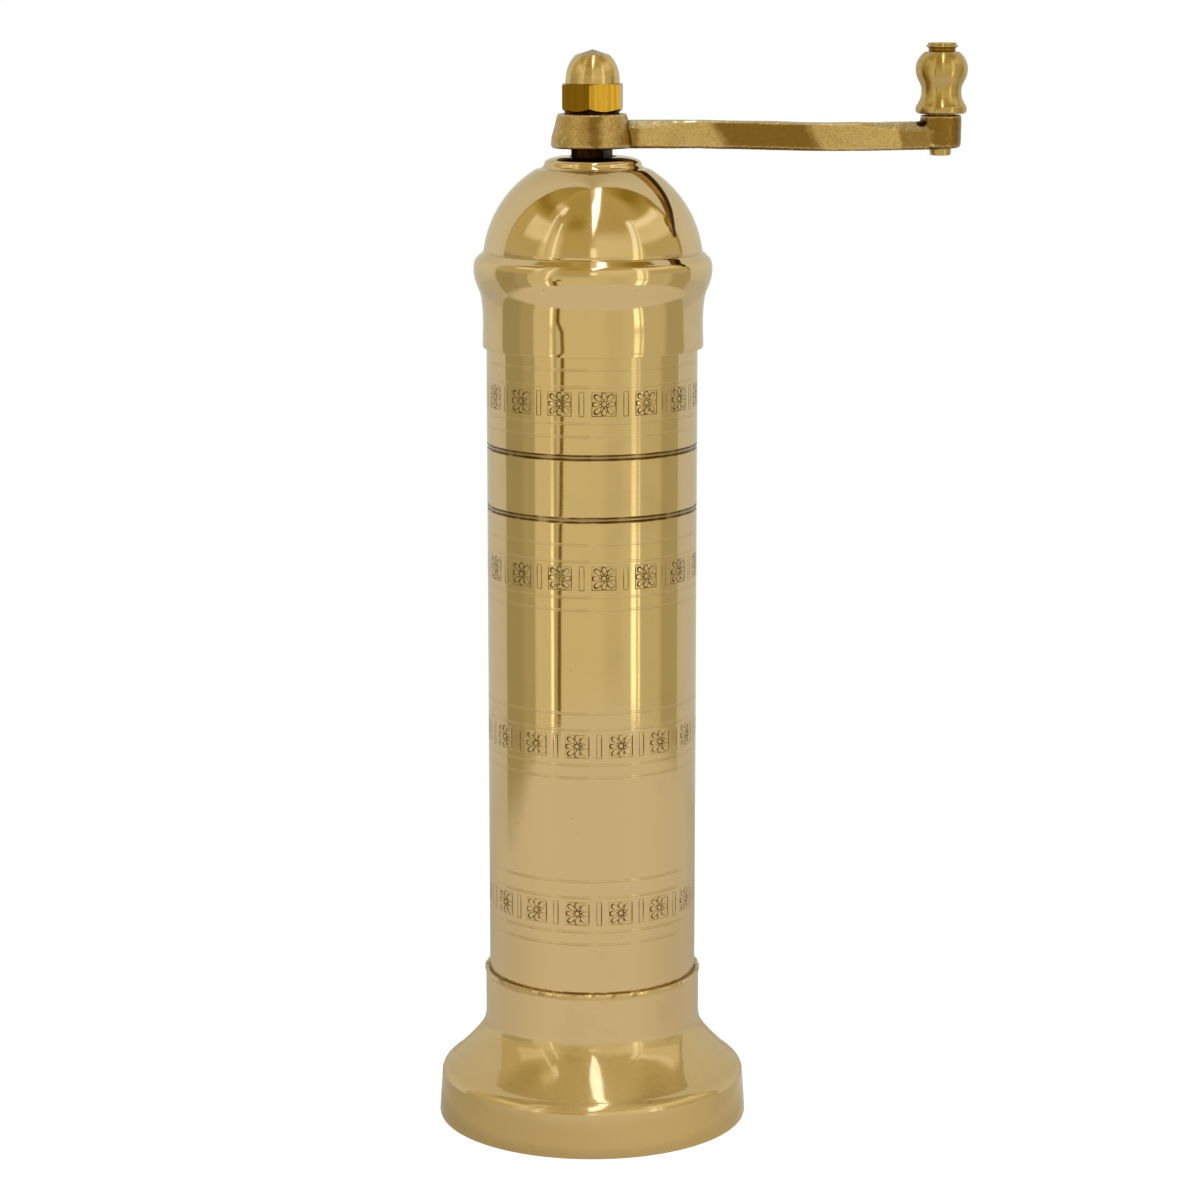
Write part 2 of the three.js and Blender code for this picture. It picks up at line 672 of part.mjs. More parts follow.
// Knob pin: plain shank, riveted tail below the end boss, turned head over the knob
function knobPinGeometry() {
  const headZ = knobZ + knobHeight + seat;
  const neck = pinHeadRadius * 0.85;
  return turned([
    at(0, endBossZ - pinTail), at(knobPinRadius - 0.2, endBossZ - pinTail),
    at(knobPinRadius, endBossZ - pinTail + 0.2), at(knobPinRadius, headZ),
    at(neck, headZ), at(neck, headZ + pinHeadHeight * 0.4),
    at(pinHeadRadius, headZ + pinHeadHeight * 0.5),
    at(pinHeadRadius, headZ + pinHeadHeight * 0.66),
    at(pinHeadRadius - 0.3, headZ + pinHeadHeight * 0.75),
    at(pinHeadRadius - 0.3, headZ + pinHeadHeight),
    at(0, headZ + pinHeadHeight),
  ]);
}

// Knob from its lower face: flange, waist and bulb, with a bore for the pin
function knobGeometry() {
  const outside = new THREE.Path();
  outside.moveTo(knobFlange - 0.8, 0);
  outside.quadraticCurveTo(knobFlange, 0.3, knobFlange, 1.5);
  outside.bezierCurveTo(
    knobFlange, 2.6, knobWaist, knobHeight * 0.22, knobWaist, knobHeight * 0.36);
  outside.bezierCurveTo(
    knobWaist, knobHeight * 0.5, knobRadius, knobHeight * 0.52, knobRadius, knobHeight * 0.72);
  outside.bezierCurveTo(
    knobRadius, knobHeight * 0.88, knobTopRadius + 0.9, knobHeight * 0.97, knobTopRadius, knobHeight);
  const bore = knobPinRadius + running;
  return turned([...outside.getPoints(5), at(bore, knobHeight), at(bore, 0)]);
}

const finish = (colour, roughness, metalness = 1) =>
  new THREE.MeshStandardMaterial({ color: colour, roughness, metalness });
const polishedBrass = finish('#c8a96c', 0.18);
const engravedBrass = finish('#c6a666', 0.2);
const castBrass = finish('#a98a4a', 0.45);
const milledBrass = finish('#b98a2e', 0.35);
const turnedBrass = finish('#bf9a52', 0.28);
const darkSteel = finish('#2a1c12', 0.5, 0.8);
const plainSteel = finish('#8d8f92', 0.35);
const burrSteel = finish('#70747a', 0.4);

function piece(name, body, material, z = 0, x = 0) {
  const mesh = new THREE.Mesh(surface(body), material.clone());
  mesh.name = name;
  mesh.position.set(x, 0, z);
  return mesh;
}

const mill = new THREE.Group();

const body = new THREE.Group();
body.add(
  piece('base_foot', footGeometry(), polishedBrass),
  piece('body_tube', tubeGeometry(), engravedBrass),
  piece('outer_burr', outerBurrGeometry(), burrSteel),
  piece('guide_bridge', guideBridgeGeometry(), plainSteel),
  piece('guide_bush', bushGeometry(journalRadius + running, bushRadius), turnedBrass, bushFlangeZ),
  piece('carrier_bridge', carrierBridgeGeometry(), plainSteel),
  piece('threaded_boss', bushGeometry(adjusterRadius + running, threadedBossRadius), turnedBrass,
    bossFlangeZ),
  piece('spring', springGeometry(), plainSteel),
);
for (const [name, side] of [['left', -1], ['right', 1]]) {
  const upperZ = guideFootZ + strapThickness + seat;
  const upper = piece(`guide_screw_${name}`, strapScrewGeometry(), plainSteel);
  upper.position.set(side * screwCircle, 0, upperZ);
  const lower = piece(`carrier_screw_${name}`, strapScrewGeometry(), plainSteel);
  lower.position.set(side * screwCircle, 0, carrierFootZ - seat);
  lower.rotation.x = Math.PI;
  body.add(upper, lower);
}
mill.add(body);

const thrust = new THREE.Group();
const washerBore = journalRadius + loose;
const washerRadius = springRadius + wireRadius + washerRim;
const springWasher = turned([
  at(washerRadius, 0), at(washerRadius, washerThickness),
  at(washerBore, washerThickness), at(washerBore, 0),
]);
thrust.add(
  piece('spring_washer', springWasher, plainSteel, washerZ),
  piece('thrust_ball', solid(new THREE.SphereGeometry(ballRadius, 14, 10)), plainSteel, ballZ),
  piece('adjusting_screw', adjusterGeometry(), turnedBrass),
);
mill.add(thrust);

const spindle = new THREE.Group();
spindle.add(
  piece('spindle', spindleGeometry(), darkSteel),
  piece('inner_burr', innerBurrGeometry(), burrSteel),
  piece('burr_pin', crossPin(crossPinRadius, 2 * (neckRadius - crossPinInset)), plainSteel),
);
mill.add(spindle);

const crank = new THREE.Group();
crank.add(
  piece('crank_arm', crankGeometry(), castBrass),
  piece('nut_washer', nutWasherGeometry(), darkSteel, nutWasherZ),
  piece('acorn_nut', nutGeometry(), milledBrass, nutZ),
  piece('knob_pin', knobPinGeometry(), turnedBrass, 0, crankThrow),
  piece('knob', knobGeometry(), turnedBrass, knobZ, crankThrow),
);
mill.add(crank);

mill.add(piece('cap', capGeometry(), polishedBrass, skirtZ));

// The origin lies on the table, halfway between the foot's rim and the knob's outer side
mill.position.x = (footRadius - crankThrow - knobRadius) / 2;

export default mill;
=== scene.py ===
import json
import math

import bmesh
import bpy
from mathutils import Matrix, Vector, noise
from mathutils.geometry import delaunay_2d_cdt


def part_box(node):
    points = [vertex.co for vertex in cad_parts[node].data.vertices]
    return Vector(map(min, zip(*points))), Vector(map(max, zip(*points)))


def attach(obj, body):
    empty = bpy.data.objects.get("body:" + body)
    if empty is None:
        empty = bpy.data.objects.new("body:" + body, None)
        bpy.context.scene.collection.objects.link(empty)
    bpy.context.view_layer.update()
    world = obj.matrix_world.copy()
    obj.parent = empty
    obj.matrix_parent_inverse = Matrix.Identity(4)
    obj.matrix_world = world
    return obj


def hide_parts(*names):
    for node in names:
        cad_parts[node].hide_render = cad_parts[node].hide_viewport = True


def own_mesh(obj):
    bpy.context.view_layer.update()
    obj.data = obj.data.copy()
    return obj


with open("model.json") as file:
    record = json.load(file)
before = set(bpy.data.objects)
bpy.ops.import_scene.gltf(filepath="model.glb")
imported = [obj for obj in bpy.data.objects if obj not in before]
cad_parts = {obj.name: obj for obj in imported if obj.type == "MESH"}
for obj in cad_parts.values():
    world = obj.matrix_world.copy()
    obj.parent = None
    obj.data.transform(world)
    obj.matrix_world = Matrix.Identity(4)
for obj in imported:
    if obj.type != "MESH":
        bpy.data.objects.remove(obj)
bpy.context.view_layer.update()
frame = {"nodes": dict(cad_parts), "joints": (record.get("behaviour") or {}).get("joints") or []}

mm = 0.001

# The room: a white sheet hangs behind the mill and lies under it, the front is open to a warm,
# darker workroom with two upright lamps and a tube lamp overhead. The polished brass mirrors all
# of it, so the room is drawn on the world, by azimuth from the camera and by height in degrees.


class Socket:
    """An output of a shader node. Sums and products of sockets add their Math nodes."""

    def __init__(self, finish, output):
        self.finish, self.output = finish, output

    def __getitem__(self, name):
        return Socket(self.finish, self.output.node.outputs[name])

    def maths(self, operation, *values):
        numbered = dict(enumerate(values))
        return self.finish.node("Math", {"operation": operation}, numbered)

    def __add__(self, other):
        return self.maths("ADD", self, other)

    def __sub__(self, other):
        return self.maths("SUBTRACT", self, other)

    def __mul__(self, other):
        return self.maths("MULTIPLY", self, other)

    def __truediv__(self, other):
        return self.maths("DIVIDE", self, other)

    def __pow__(self, other):
        return self.maths("POWER", self, other)

    def __rsub__(self, other):
        return self.maths("SUBTRACT", other, self)

    def __abs__(self):
        return self.maths("ABSOLUTE", self)

    __radd__ = __add__
    __rmul__ = __mul__


class Finish:
    """The node tree of a material or of the world."""

    def __init__(self, owner):
        owner.use_nodes = True
        self.owner, self.tree = owner, owner.node_tree
        self.tree.nodes.clear()

    def node(self, kind, settings=None, values=None, **named):
        """Adds a node: its settings first, then the values or links of its sockets."""
        made = self.tree.nodes.new("ShaderNode" + kind)
        for name, setting in (settings or {}).items():
            if name == "stops":
                self.set_stops(made.color_ramp, setting)
            else:
                setattr(made, name, setting)
        sockets = {name.replace("_", " "): value for name, value in named.items()}
        for name, value in {**(values or {}), **sockets}.items():
            if isinstance(value, Socket):
                self.tree.links.new(value.output, made.inputs[name])
            else:
                made.inputs[name].default_value = value
        return Socket(self, made.outputs[0]) if made.outputs else made

    def set_stops(self, ramp, stops):
        while len(ramp.elements) < len(stops):
            ramp.elements.new(1)
        for element, (place, colour) in zip(ramp.elements, stops):
            element.position, element.color = place, (*colour, 1)

    def smooth(self, value, low, high):
        """0 below low and 1 above high, or the other way round where low is the larger."""
        settings = {"interpolation_type": "SMOOTHSTEP"}
        return self.node("MapRange", settings, Value=value, From_Min=low, From_Max=high)

    def between(self, value, low, high, soft):
        """1 between low and high, and 0 beyond them, with a soft step at each."""
        over_low = self.smooth(value, low - soft, low + soft)
        return over_low * self.smooth(value, high + soft, high - soft)

    def blend(self, share, first, second, how="MIX"):
        """Colour: first where share is 0, second where it is 1."""
        settings = {"data_type": "RGBA", "blend_type": how}
        first, second = ((*c, 1) if isinstance(c, tuple) else c for c in (first, second))
        return self.node("Mix", settings, {0: share, 6: first, 7: second})["Result"]


room = Finish(bpy.data.worlds.new("workroom"))
bpy.context.scene.world = room.owner
facing = room.node("SeparateXYZ", Vector=room.node("TexCoord")["Generated"])
across, away, upward = facing["X"], facing["Y"], facing["Z"]
turn_deg = across.maths("ARCTAN2", across, 0 - away) * math.degrees(1)
rise_deg = across.maths("ARCSINE", upward) * math.degrees(1)
seen = room.node("LightPath")


def panel(level, middle, half_width, low, high, brightness, edge):
    """A lit or dark part of the room, between two heights, with a soft edge."""
    mask = room.smooth(abs(turn_deg - middle), half_width + edge, half_width - edge)
    mask = mask * room.between(rise_deg, low, high, edge)
    return level + (brightness - level) * mask


room_level = 1.0 + 0.1 * room.smooth(rise_deg, 5, 15) - 0.38 * room.smooth(rise_deg, 26, 42)
for part in (
    # middle, half width, low, high, brightness, edge: walls and doors first, lamps last
    (-34, 28, 52, 90, 0.62, 8),
    (-18, 18, 2, 40, 0.72, 5),
    (-85, 20, -60, 8, 0.64, 2),
    (-97, 16, -60, 8, 0.55, 4),
    (24, 10, -60, 2, 0.92, 6),
    (-86, 26, 6, 46, 0.76, 4),
    (-71, 16, 24, 42, 1.25, 3),
    (-22, 11, 39, 53, 0.44, 7),
    (-92, 24, 46, 60, 0.40, 6),
    (-90, 22, 60, 76, 0.56, 8),
    (-96, 18, 70, 88, 0.52, 5),
    (68, 14, -60, 6, 0.86, 4),
    (96, 15, -60, 6, 0.64, 4),
    (82, 26, 4, 22, 0.76, 4),
    (80, 26, 22, 43, 1.15, 3),
    (76, 24, 37, 43, 1.50, 2),
    (94, 22, 50, 76, 0.36, 12),
    (109, 8, 40, 50, 0.42, 4),
    (-56, 1.8, 22, 52, 1.60, 1.5),
    (-50, 2, 8, 46, 0.92, 1.5),
    (-52, 5, 53, 61, 2.10, 2.5),
    (-63, 8, 56, 62, 1.10, 3),
    (107, 2, 5, 44, 0.45, 2),
    (0.5, 3, 8, 20, 1.80, 2),
    (-40, 2, -60, 2, 0.72, 1.2),
):
    room_level = panel(room_level, *part)

# both upright lamps lean, as does the dark slit beside the left one; the right one is a double line
left_lamp = -44 + 2 * room.smooth(rise_deg, -5, 10)
right_lamp = 46.5 + 4 * room.smooth(rise_deg, 5, 42)
slit = -36.3 + 4.5 * room.smooth(rise_deg, -12, -6)
lamp_glow = 1.25 + 1.2 * room.smooth(rise_deg, -8, -11) + 0.6 * room.smooth(rise_deg, -6.3, -4)
for part in (
    (left_lamp, 1.3, -60, 45, lamp_glow, 1.0),
    (slit, 2.0, -60, -4, 0.22, 0.9),
    (right_lamp + 1.5, 6, -60, 45, 1.0, 1.5),
    (right_lamp, 2.8, -60, 45, lamp_glow + 0.15, 1.2),
    (right_lamp + 6.3, 0.8, -60, 45, lamp_glow, 0.8),
):
    room_level = panel(room_level, *part)

# the tube lamp runs away from the camera overhead, with a pale ceiling to either side
tube_lamp_glow, halo_glow = 6, 1.15
lamp_side = across / upward
lamp_halo = room.smooth(lamp_side, -0.08, 0.0) * room.smooth(lamp_side, 0.16, 0.12)
lamp_halo = lamp_halo * room.smooth(rise_deg, 44, 56)
room_level = room_level.maths("MAXIMUM", room_level, halo_glow * lamp_halo)
lamp_left = 0.06 * room.smooth(rise_deg, 64, 82) - 0.022
lamp_right = 0.02 + 0.05 * room.smooth(rise_deg, 33, 46) + 0.04 * room.smooth(rise_deg, 42, 66)
ceiling_lamp = room.smooth(lamp_side - lamp_left, -0.012, 0.006)
ceiling_lamp = ceiling_lamp * room.smooth(lamp_side - lamp_right, 0.008, -0.008)
ceiling_lamp = ceiling_lamp * room.smooth(rise_deg, 30, 46)
room_level = room_level + (tube_lamp_glow - room_level) * ceiling_lamp

# the sheet hangs behind the mill; beside its edge the room is a little darker
sheet_edge = (1 - upward * upward) ** 0.5
sheet_edge = sheet_edge * (0.32 + 0.05 * room.smooth(rise_deg, 40, 50) * room.smooth(turn_deg, 0, 20))
beside_sheet = room.smooth(sheet_edge - away, 0.04, 0.0) * room.smooth(rise_deg, 5, 30)
room_level = room_level * (1 - 0.35 * beside_sheet)

# dark parts of the room are brown, lit ones white and lamps bluish; levels are shares of top_level
top_level = 2.5
room_tint = room.node("ValToRGB", {"stops": [
    (0.10, (0.26, 0.18, 0.02)), (0.14, (0.40, 0.30, 0.045)), (0.20, (0.57, 0.47, 0.16)),
    (0.25, (0.67, 0.58, 0.25)), (0.29, (0.77, 0.68, 0.36)), (0.34, (0.89, 0.83, 0.57)),
    (0.40, (1.0, 0.97, 0.74)), (0.50, (1.0, 0.98, 0.84)), (0.60, (0.97, 1.0, 1.0)),
    (1.00, (0.66, 0.76, 1.0)),
]}, Fac=room_level / top_level)
plain = room_level.maths("MINIMUM", room_level, 1)
plain = room.node("CombineColor", Red=plain, Green=plain, Blue=plain * 0.8)
plain_share = room.smooth(rise_deg, 25, 0) * room.smooth(room_level, 0.40, 0.56) * 0.8
room_tint = room.blend(plain_share, room_tint, plain)
room_glow = room_level.maths("MAXIMUM", room_level, 1)
sheet_share = room.smooth(away - sheet_edge, -0.015, 0.015)
room_light = room.node("Background", Color=room_tint, Strength=room_glow)
sheet_light = room.node("Background", Color=(1, 1, 1, 1), Strength=1)
sheet_dim = 1.0 - 0.1 * room.smooth(rise_deg, 5, -12) - 0.09 * room.smooth(rise_deg, -12.5, -14.5)
sheet_far = room.smooth(abs(turn_deg), 120, 172)
sheet_tone = room.blend(sheet_far, (0.96, 1.0, 1.03), (0.73, 0.74, 0.62))
mirrored_sheet = room.node("Background", Color=sheet_tone, Strength=sheet_dim)
mirrored_sheet = room.node("MixShader", None, {
    0: seen["Is Glossy Ray"], 1: sheet_light, 2: mirrored_sheet})
lit = room.node("MixShader", None, {0: sheet_share, 1: room_light, 2: mirrored_sheet})
lit = room.node("MixShader", None, {0: seen["Is Camera Ray"], 1: lit, 2: sheet_light})
room.node("OutputWorld", Surface=lit)

# The sheet under the mill is white paper that reaches 39 cm out and fades away at its edge. It glows
# to the camera and to mirrored rays, so that it reads white and keeps a little of the mill's shadow,
# and it is clear from below.
sheet_reach = 386 * mm
sheet_middle = (-5 * mm, -89 * mm, 0)
tube_low, tube_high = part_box("body_tube")
axis_x = (tube_low.x + tube_high.x) / 2
bpy.ops.mesh.primitive_circle_add(
    vertices=96, radius=sheet_reach, fill_type="NGON", location=sheet_middle)
table = bpy.context.object
table.name = "white_sheet"
paper = Finish(bpy.data.materials.new("white_sheet"))
paper_place = paper.node("NewGeometry")["Position"]
from_middle = paper.node("VectorMath", {"operation": "DISTANCE"}, {0: paper_place, 1: sheet_middle})
from_middle = from_middle["Value"]
shown = paper.node("LightPath")
towards = paper.node("SeparateXYZ", Vector=paper_place)
round_mill = towards["X"].maths("ARCTAN2", towards["X"] - axis_x, 0 - towards["Y"]) * math.degrees(1)

# mirrored, it carries painted shadow: darker beside and behind the mill, near the foot, and most
# right at its rim
shade = 0.14 * paper.smooth(abs(round_mill), 50, 130)
beside_foot = paper.smooth(abs(round_mill), 30, 90)
from_mill = towards["X"].maths("SQRT", (towards["X"] - axis_x) ** 2 + towards["Y"] ** 2)
near_rim = paper.smooth(from_mill, 95 * mm, 60 * mm)
shade = shade + near_rim * (0.12 + 0.15 * paper.smooth(round_mill, 25, -50))
shade = shade + 0.14 * paper.smooth(from_mill, 46 * mm, 36 * mm)
shade = shade + 0.09 * beside_foot * paper.smooth(from_mill, 230 * mm, 150 * mm)
mirrored = shown["Is Glossy Ray"]
strength = 1.15 - mirrored * (0.13 + shade)
glow_share = 0.9 * mirrored.maths("MAXIMUM", shown["Is Camera Ray"], mirrored)
matt = paper.node("BsdfDiffuse", Color=(0.92, 0.92, 0.92, 1))
paper_far = mirrored * paper.smooth(abs(round_mill), 112, 165)
# near the foot the mirrored sheet is tinted yellow: painted light thrown back from the brass
paper_tone = paper.blend(near_rim * mirrored, (0.99, 1.0, 1.03), (1.02, 0.98, 0.80))
paper_tone = paper.blend(paper_far, paper_tone, (0.60, 0.55, 0.37))
glow = paper.node("Emission", Color=paper_tone, Strength=strength)
sheet_face = paper.node("MixShader", None, {0: glow_share, 1: matt, 2: glow})

# it fades over 4 cm, and over 11 cm to the left
fade = (40 + 70 * paper.smooth(round_mill, -55, -90)) * mm
end_share = paper.smooth((sheet_reach - from_middle) / fade, 1, 0)
from_below = paper.node("NewGeometry")["Backfacing"]
end_share = end_share.maths("MAXIMUM", end_share, from_below)
clear = paper.node("BsdfTransparent")
sheet_face = paper.node("MixShader", None, {0: end_share, 1: sheet_face, 2: clear})
paper.node("OutputMaterial", Surface=sheet_face)
table.data.materials.append(paper.owner)

# The camera stands 72 cm away and 25 cm up, 1.7 mm to the right of the mill's axis, and looks
# slightly down. Its place, tilt and lens come from the ellipses of the foot and cap in the photo.
camera_right, camera_back, camera_up = 1.68 * mm, 717.8 * mm, 248.5 * mm
looks_down_deg = 10.67
camera = bpy.data.objects.new("camera", bpy.data.cameras.new("camera"))
bpy.context.scene.collection.objects.link(camera)
camera.location = (axis_x + camera_right, -camera_back, camera_up)
camera.rotation_euler = (math.radians(90 - looks_down_deg), 0, 0)
camera.data.lens = 102.75
camera.data.sensor_width = 36
camera.data.clip_start = 10 * mm
bpy.context.scene.camera = camera
bpy.context.scene.view_settings.view_transform = "Standard"

# Foot: spun from brass sheet over a form, hollow, with a turned rim that stands on the table.
# Its thin collar is slipped over the tube and soldered; the lip is filed by hand, so it is ragged.
foot_low, foot_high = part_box("base_foot")
foot_radius = (foot_high.x - foot_low.x) / 2
foot_height = foot_high.z
tube_radius = (tube_high.x - tube_low.x) / 2
collar_radius = tube_radius + 0.85 * mm


def fillet(before, corner, after, radius, steps=6):
    """Points of the arc that rounds one corner of an outline."""
    into = (before - corner).normalized()
    out = (after - corner).normalized()
    half = into.angle(out) / 2
    reach = min(radius / math.tan(half), 0.49 * (before - corner).length,
                0.49 * (after - corner).length)
    radius = reach * math.tan(half)
    centre = corner + (into + out).normalized() * (radius / math.sin(half))
    start, end = corner + into * reach - centre, corner + out * reach - centre
    sweep = start.angle_signed(end)
    return [centre + Matrix.Rotation(-sweep * i / steps, 2) @ start for i in range(steps + 1)]


def outline(corners):
    """Points of a closed outline from (radius, height, rounding) in millimetres."""
    points = [Vector((r, z)) * mm for r, z, _ in corners]
    made = []
    for i, (_, _, rounding) in enumerate(corners):
        corner = points[i]
        if rounding:
            after = points[(i + 1) % len(points)]
            made += fillet(points[i - 1], corner, after, rounding * mm)
        else:
            made.append(corner)
    return made


def bow(steps, *controls):
    """Corners of a curve that leaves the first control towards the next, and ends at the last."""
    made = []
    for i in range(steps + 1):
        points, t = controls, i / steps
        while len(points) > 1:
            points = [tuple(a + (b - a) * t for a, b in zip(*pair))
                      for pair in zip(points, points[1:])]
        made.append((*points[0], 0))
    return made


def placed(name, faces):
    """Turns a bmesh into an object in the scene, with all its faces looking out."""
    mesh = bpy.data.meshes.new(name)
    bmesh.ops.recalc_face_normals(faces, faces=faces.faces)
    faces.to_mesh(mesh)
    faces.free()
    made = bpy.data.objects.new(name, mesh)
    bpy.context.scene.collection.objects.link(made)
    return made


def finished(name, faces, body, stands_for, sharp_deg=32):
    """Makes the bmesh a piece of the mill that rides on a body and stands for CAD nodes."""
    piece = placed(name, faces)
    piece.data.shade_smooth()
    piece.data.set_sharp_from_angle(angle=math.radians(sharp_deg))
    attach(piece, body)
    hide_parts(*stands_for)
    return piece


def turned(corners, sides=192, x=None, faces=None):
    """An outline's corners turned about an upright axis. Points on the axis become poles."""
    faces = faces or bmesh.new()
    x = axis_x if x is None else x
    rings = []
    for point in outline(corners):
        if point.x < 1e-7:
            rings.append([faces.verts.new((x, 0, point.y))])
            continue
        rings.append([faces.verts.new((
            x + point.x * math.cos(2 * math.pi * k / sides),
            point.x * math.sin(2 * math.pi * k / sides), point.y)) for k in range(sides)])
    open_ended = len(rings[0]) == 1
    pairs = list(zip(rings, rings[1:])) + ([] if open_ended else [(rings[-1], rings[0])])
    for low, high in pairs:
        for k in range(sides):
            n = (k + 1) % sides
            around = [low[k % len(low)], low[n % len(low)], high[n % len(high)], high[k % len(high)]]
            around = [c for i, c in enumerate(around) if c not in around[:i]]
            if len(around) > 2:
                faces.faces.new(around)
    return faces


class Metal(Finish):
    """A bare metal. Its noises are in turns per metre."""

    def __init__(self, name):
        super().__init__(bpy.data.materials.new(name))
        self.place = self.node("TexCoord")["Object"]

    def noise(self, scale, detail, roughness=0.5, place=None):
        where = place or self.place
        return self.node("TexNoise", Vector=where, Scale=scale, Detail=detail, Roughness=roughness)

    def bump(self, height, strength, distance, under=None):
        """Relief from a noise, on top of the relief under it."""
        settings = {"Normal": under} if under else {}
        return self.node("Bump", None, settings, Height=height, Strength=strength, Distance=distance)

    def surface(self, colour, roughness, bump, **more):
        """Ends the material and gives it back."""
        skin = self.node("BsdfPrincipled", Metallic=1.0, Base_Color=colour, Roughness=roughness,
                         Normal=bump, **more)
        self.node("OutputMaterial", Surface=skin)
        return self.owner


def brass(name, wave, wave_size=22 * mm, haze=None, dirt=None):
    """Polished brass: slow waves from the spinning tool, fine rings from the cloth, faint stains."""
    colour, tarnish = (0.565, 0.402, 0.182), (0.30, 0.17, 0.045)
    darker = tuple(c * 0.93 for c in colour)
    finish = Metal(name)
    stain = finish.noise(70, 5, 0.6)
    speck = finish.noise(900, 2)
    ring = finish.noise(90, 3, place=finish.node("Mapping", Vector=finish.place, Scale=(1, 1, 60)))
    wavy = finish.noise(1 / wave_size, 1)
    shade = finish.blend(finish.smooth(stain, 0.52, 0.75), colour, darker)
    shade = finish.blend(finish.smooth(speck, 0.72, 0.8) * 0.35, shade, tarnish)
    rough = 0.045 + finish.smooth(stain, 0.4, 0.8) * 0.03 + ring * 0.025
    if haze:
        low, high, share = haze
        height = finish.node("SeparateXYZ", Vector=finish.place)["Z"]
        scuffed = finish.smooth(height, low - mm, low + mm)
        scuffed = scuffed * finish.smooth(height, high + 2 * mm, high - 2 * mm)
        rough = rough + finish.smooth(finish.noise(20000, 0), 0.46, 0.52) * scuffed * share
    # the attribute mask darkens the brass: old polish in seams and relief, and on the tube also
    # painted shade on one side of the relief
    if dirt:
        mask = finish.node("Attribute", {"attribute_name": dirt})["Fac"]
        shade = finish.blend(mask, shade, (0.07, 0.029, 0.001))
        rough = rough + mask * 0.3
    return finish.surface(shade, rough, finish.bump(
        wavy, wave, 0.5 * mm, finish.bump(ring, 0.05, 0.05 * mm)))


rim_height, rim_draft, rim_wall = 9.6, 0.6, 2.6
foot_r, foot_h = foot_radius / mm, foot_height / mm
tube_r, collar_r = tube_radius / mm, collar_radius / mm
ledge_z, ledge_r = tube_low.z / mm - 0.3, tube_r - 2.1
flare_start = (foot_r - 2.6, rim_height + 2.25)
foot_outline = [
    (foot_r - 0.15, 0, 0.15),
    (foot_r, 0.5, 0.4),
    (foot_r - rim_draft, rim_height - 0.1, 0.25),
    *bow(8, (foot_r - 0.72, rim_height + 0.25), (foot_r - 0.97, rim_height + 1.2),
         (flare_start[0] + 0.3, flare_start[1] - 0.2)),
    *bow(24, flare_start, (collar_r + 0.90, ledge_z - 2.6), (collar_r + 0.29, ledge_z + 0.2)),
    (collar_r, ledge_z + 1.7, 0),
    (collar_r, foot_h - 1.7, 0),
    (collar_r, foot_h - 1.1, 0),
    (collar_r + 0.22, foot_h - 0.55, 0.2),
    (collar_r + 0.12, foot_h, 0.12),
    (tube_r + 0.04, foot_h - 0.12, 0.03),
    (tube_r + 0.04, ledge_z, 0.03),
    (ledge_r, ledge_z, 0.1),
    (ledge_r, ledge_z - 0.8, 0.2),
    (collar_r - 1.5, ledge_z - 1.8, 1.0),
    (foot_r - 6.3, rim_height + 3.4, 2.0),
    (foot_r - rim_wall, rim_height - 1.5, 2.0),
    (foot_r - rim_wall, 0, 0.3),
]
foot_faces = turned(foot_outline, sides=360)
foot_dirt = foot_faces.verts.layers.float.new("dirt")
lip_floor = foot_height - 0.9 * mm
for vert in foot_faces.verts:
    outward = math.hypot(vert.co.x - axis_x, vert.co.y)
    if vert.co.z > lip_floor and outward > tube_radius:
        ragged = noise.noise(vert.co * 900) * 0.12 * mm + noise.noise(vert.co * 300) * 0.07 * mm
        if outward > collar_radius:
            vert.co.z += min(0, ragged)
            vert.co.x += (vert.co.x - axis_x) * ragged / tube_radius
            vert.co.y += vert.co.y * ragged / tube_radius
        else:
            vert[foot_dirt] = 0.75
        if noise.noise(vert.co * 500) > 0.28:
            vert[foot_dirt] = 0.45
foot = finished("foot", foot_faces, "body", ["base_foot"])
foot.data.materials.append(brass(
    "spun_brass_foot", wave=0.12, wave_size=7 * mm, haze=(10 * mm, 21 * mm, 0.5), dirt="dirt"))

# Body tube: drawn brass tube. A wheel has rolled four bands of rosettes and upright bars into it,
# and a pointed tool has scribed thin double lines beside them and two pairs of deeper grooves.
band_heights = [50.2, 86.3, 121.9, 158.1]
band_turn_deg = [-8.1, -8.1, 6.5, 6.5]
squares = 15
pitch = 2 * math.pi * tube_radius / squares
cell_start = -3.25 * mm
square_half = (2.5 * mm, 2.45 * mm)
bar_half = (0.5 * mm, 2.52 * mm)
edge_groove = (0.14 * mm, 0.06 * mm)
petals = [(1.60 * mm, 0.78 * mm, 0.45 * mm), (1.78 * mm, 0.92 * mm, 0.46 * mm)]
petal_taper = 0.35
petal_groove = (0.13 * mm, 0.05 * mm)
ring_groove = (0.55 * mm, 0.17 * mm, 0.08 * mm)
wedge_at = (0.66 * mm, 1.55 * mm)
line_offsets = [-6.7, -4.0, 3.5, 7.0]
line_gap = 0.19 * mm
line_places = [(offset * mm + side, side)
               for offset in line_offsets for side in (-line_gap, line_gap)]
line_groove = (0.11 * mm, 0.03 * mm)
deep_lines = [(134.45, 0.27, 0.16), (133.6, 0.36, 0.22), (147.45, 0.27, 0.16), (146.6, 0.36, 0.22)]
pair_middles = (134.1, 147.1)
groove_rows = (-1, -0.45, 0, 0.45, 1)
edge_steps = 8


def notch(offset, half_width, depth):
    """Depth of a round-bottomed groove, at an offset from its middle."""
    share = min(1, abs(offset) / half_width)
    return depth * (0.5 + 0.5 * math.cos(math.pi * share))


def off_frame(u, v, half_u, half_v):
    """How far a place lies inside a rectangle's edge. Outside is negative."""
    return min(half_u - abs(u), half_v - abs(v))


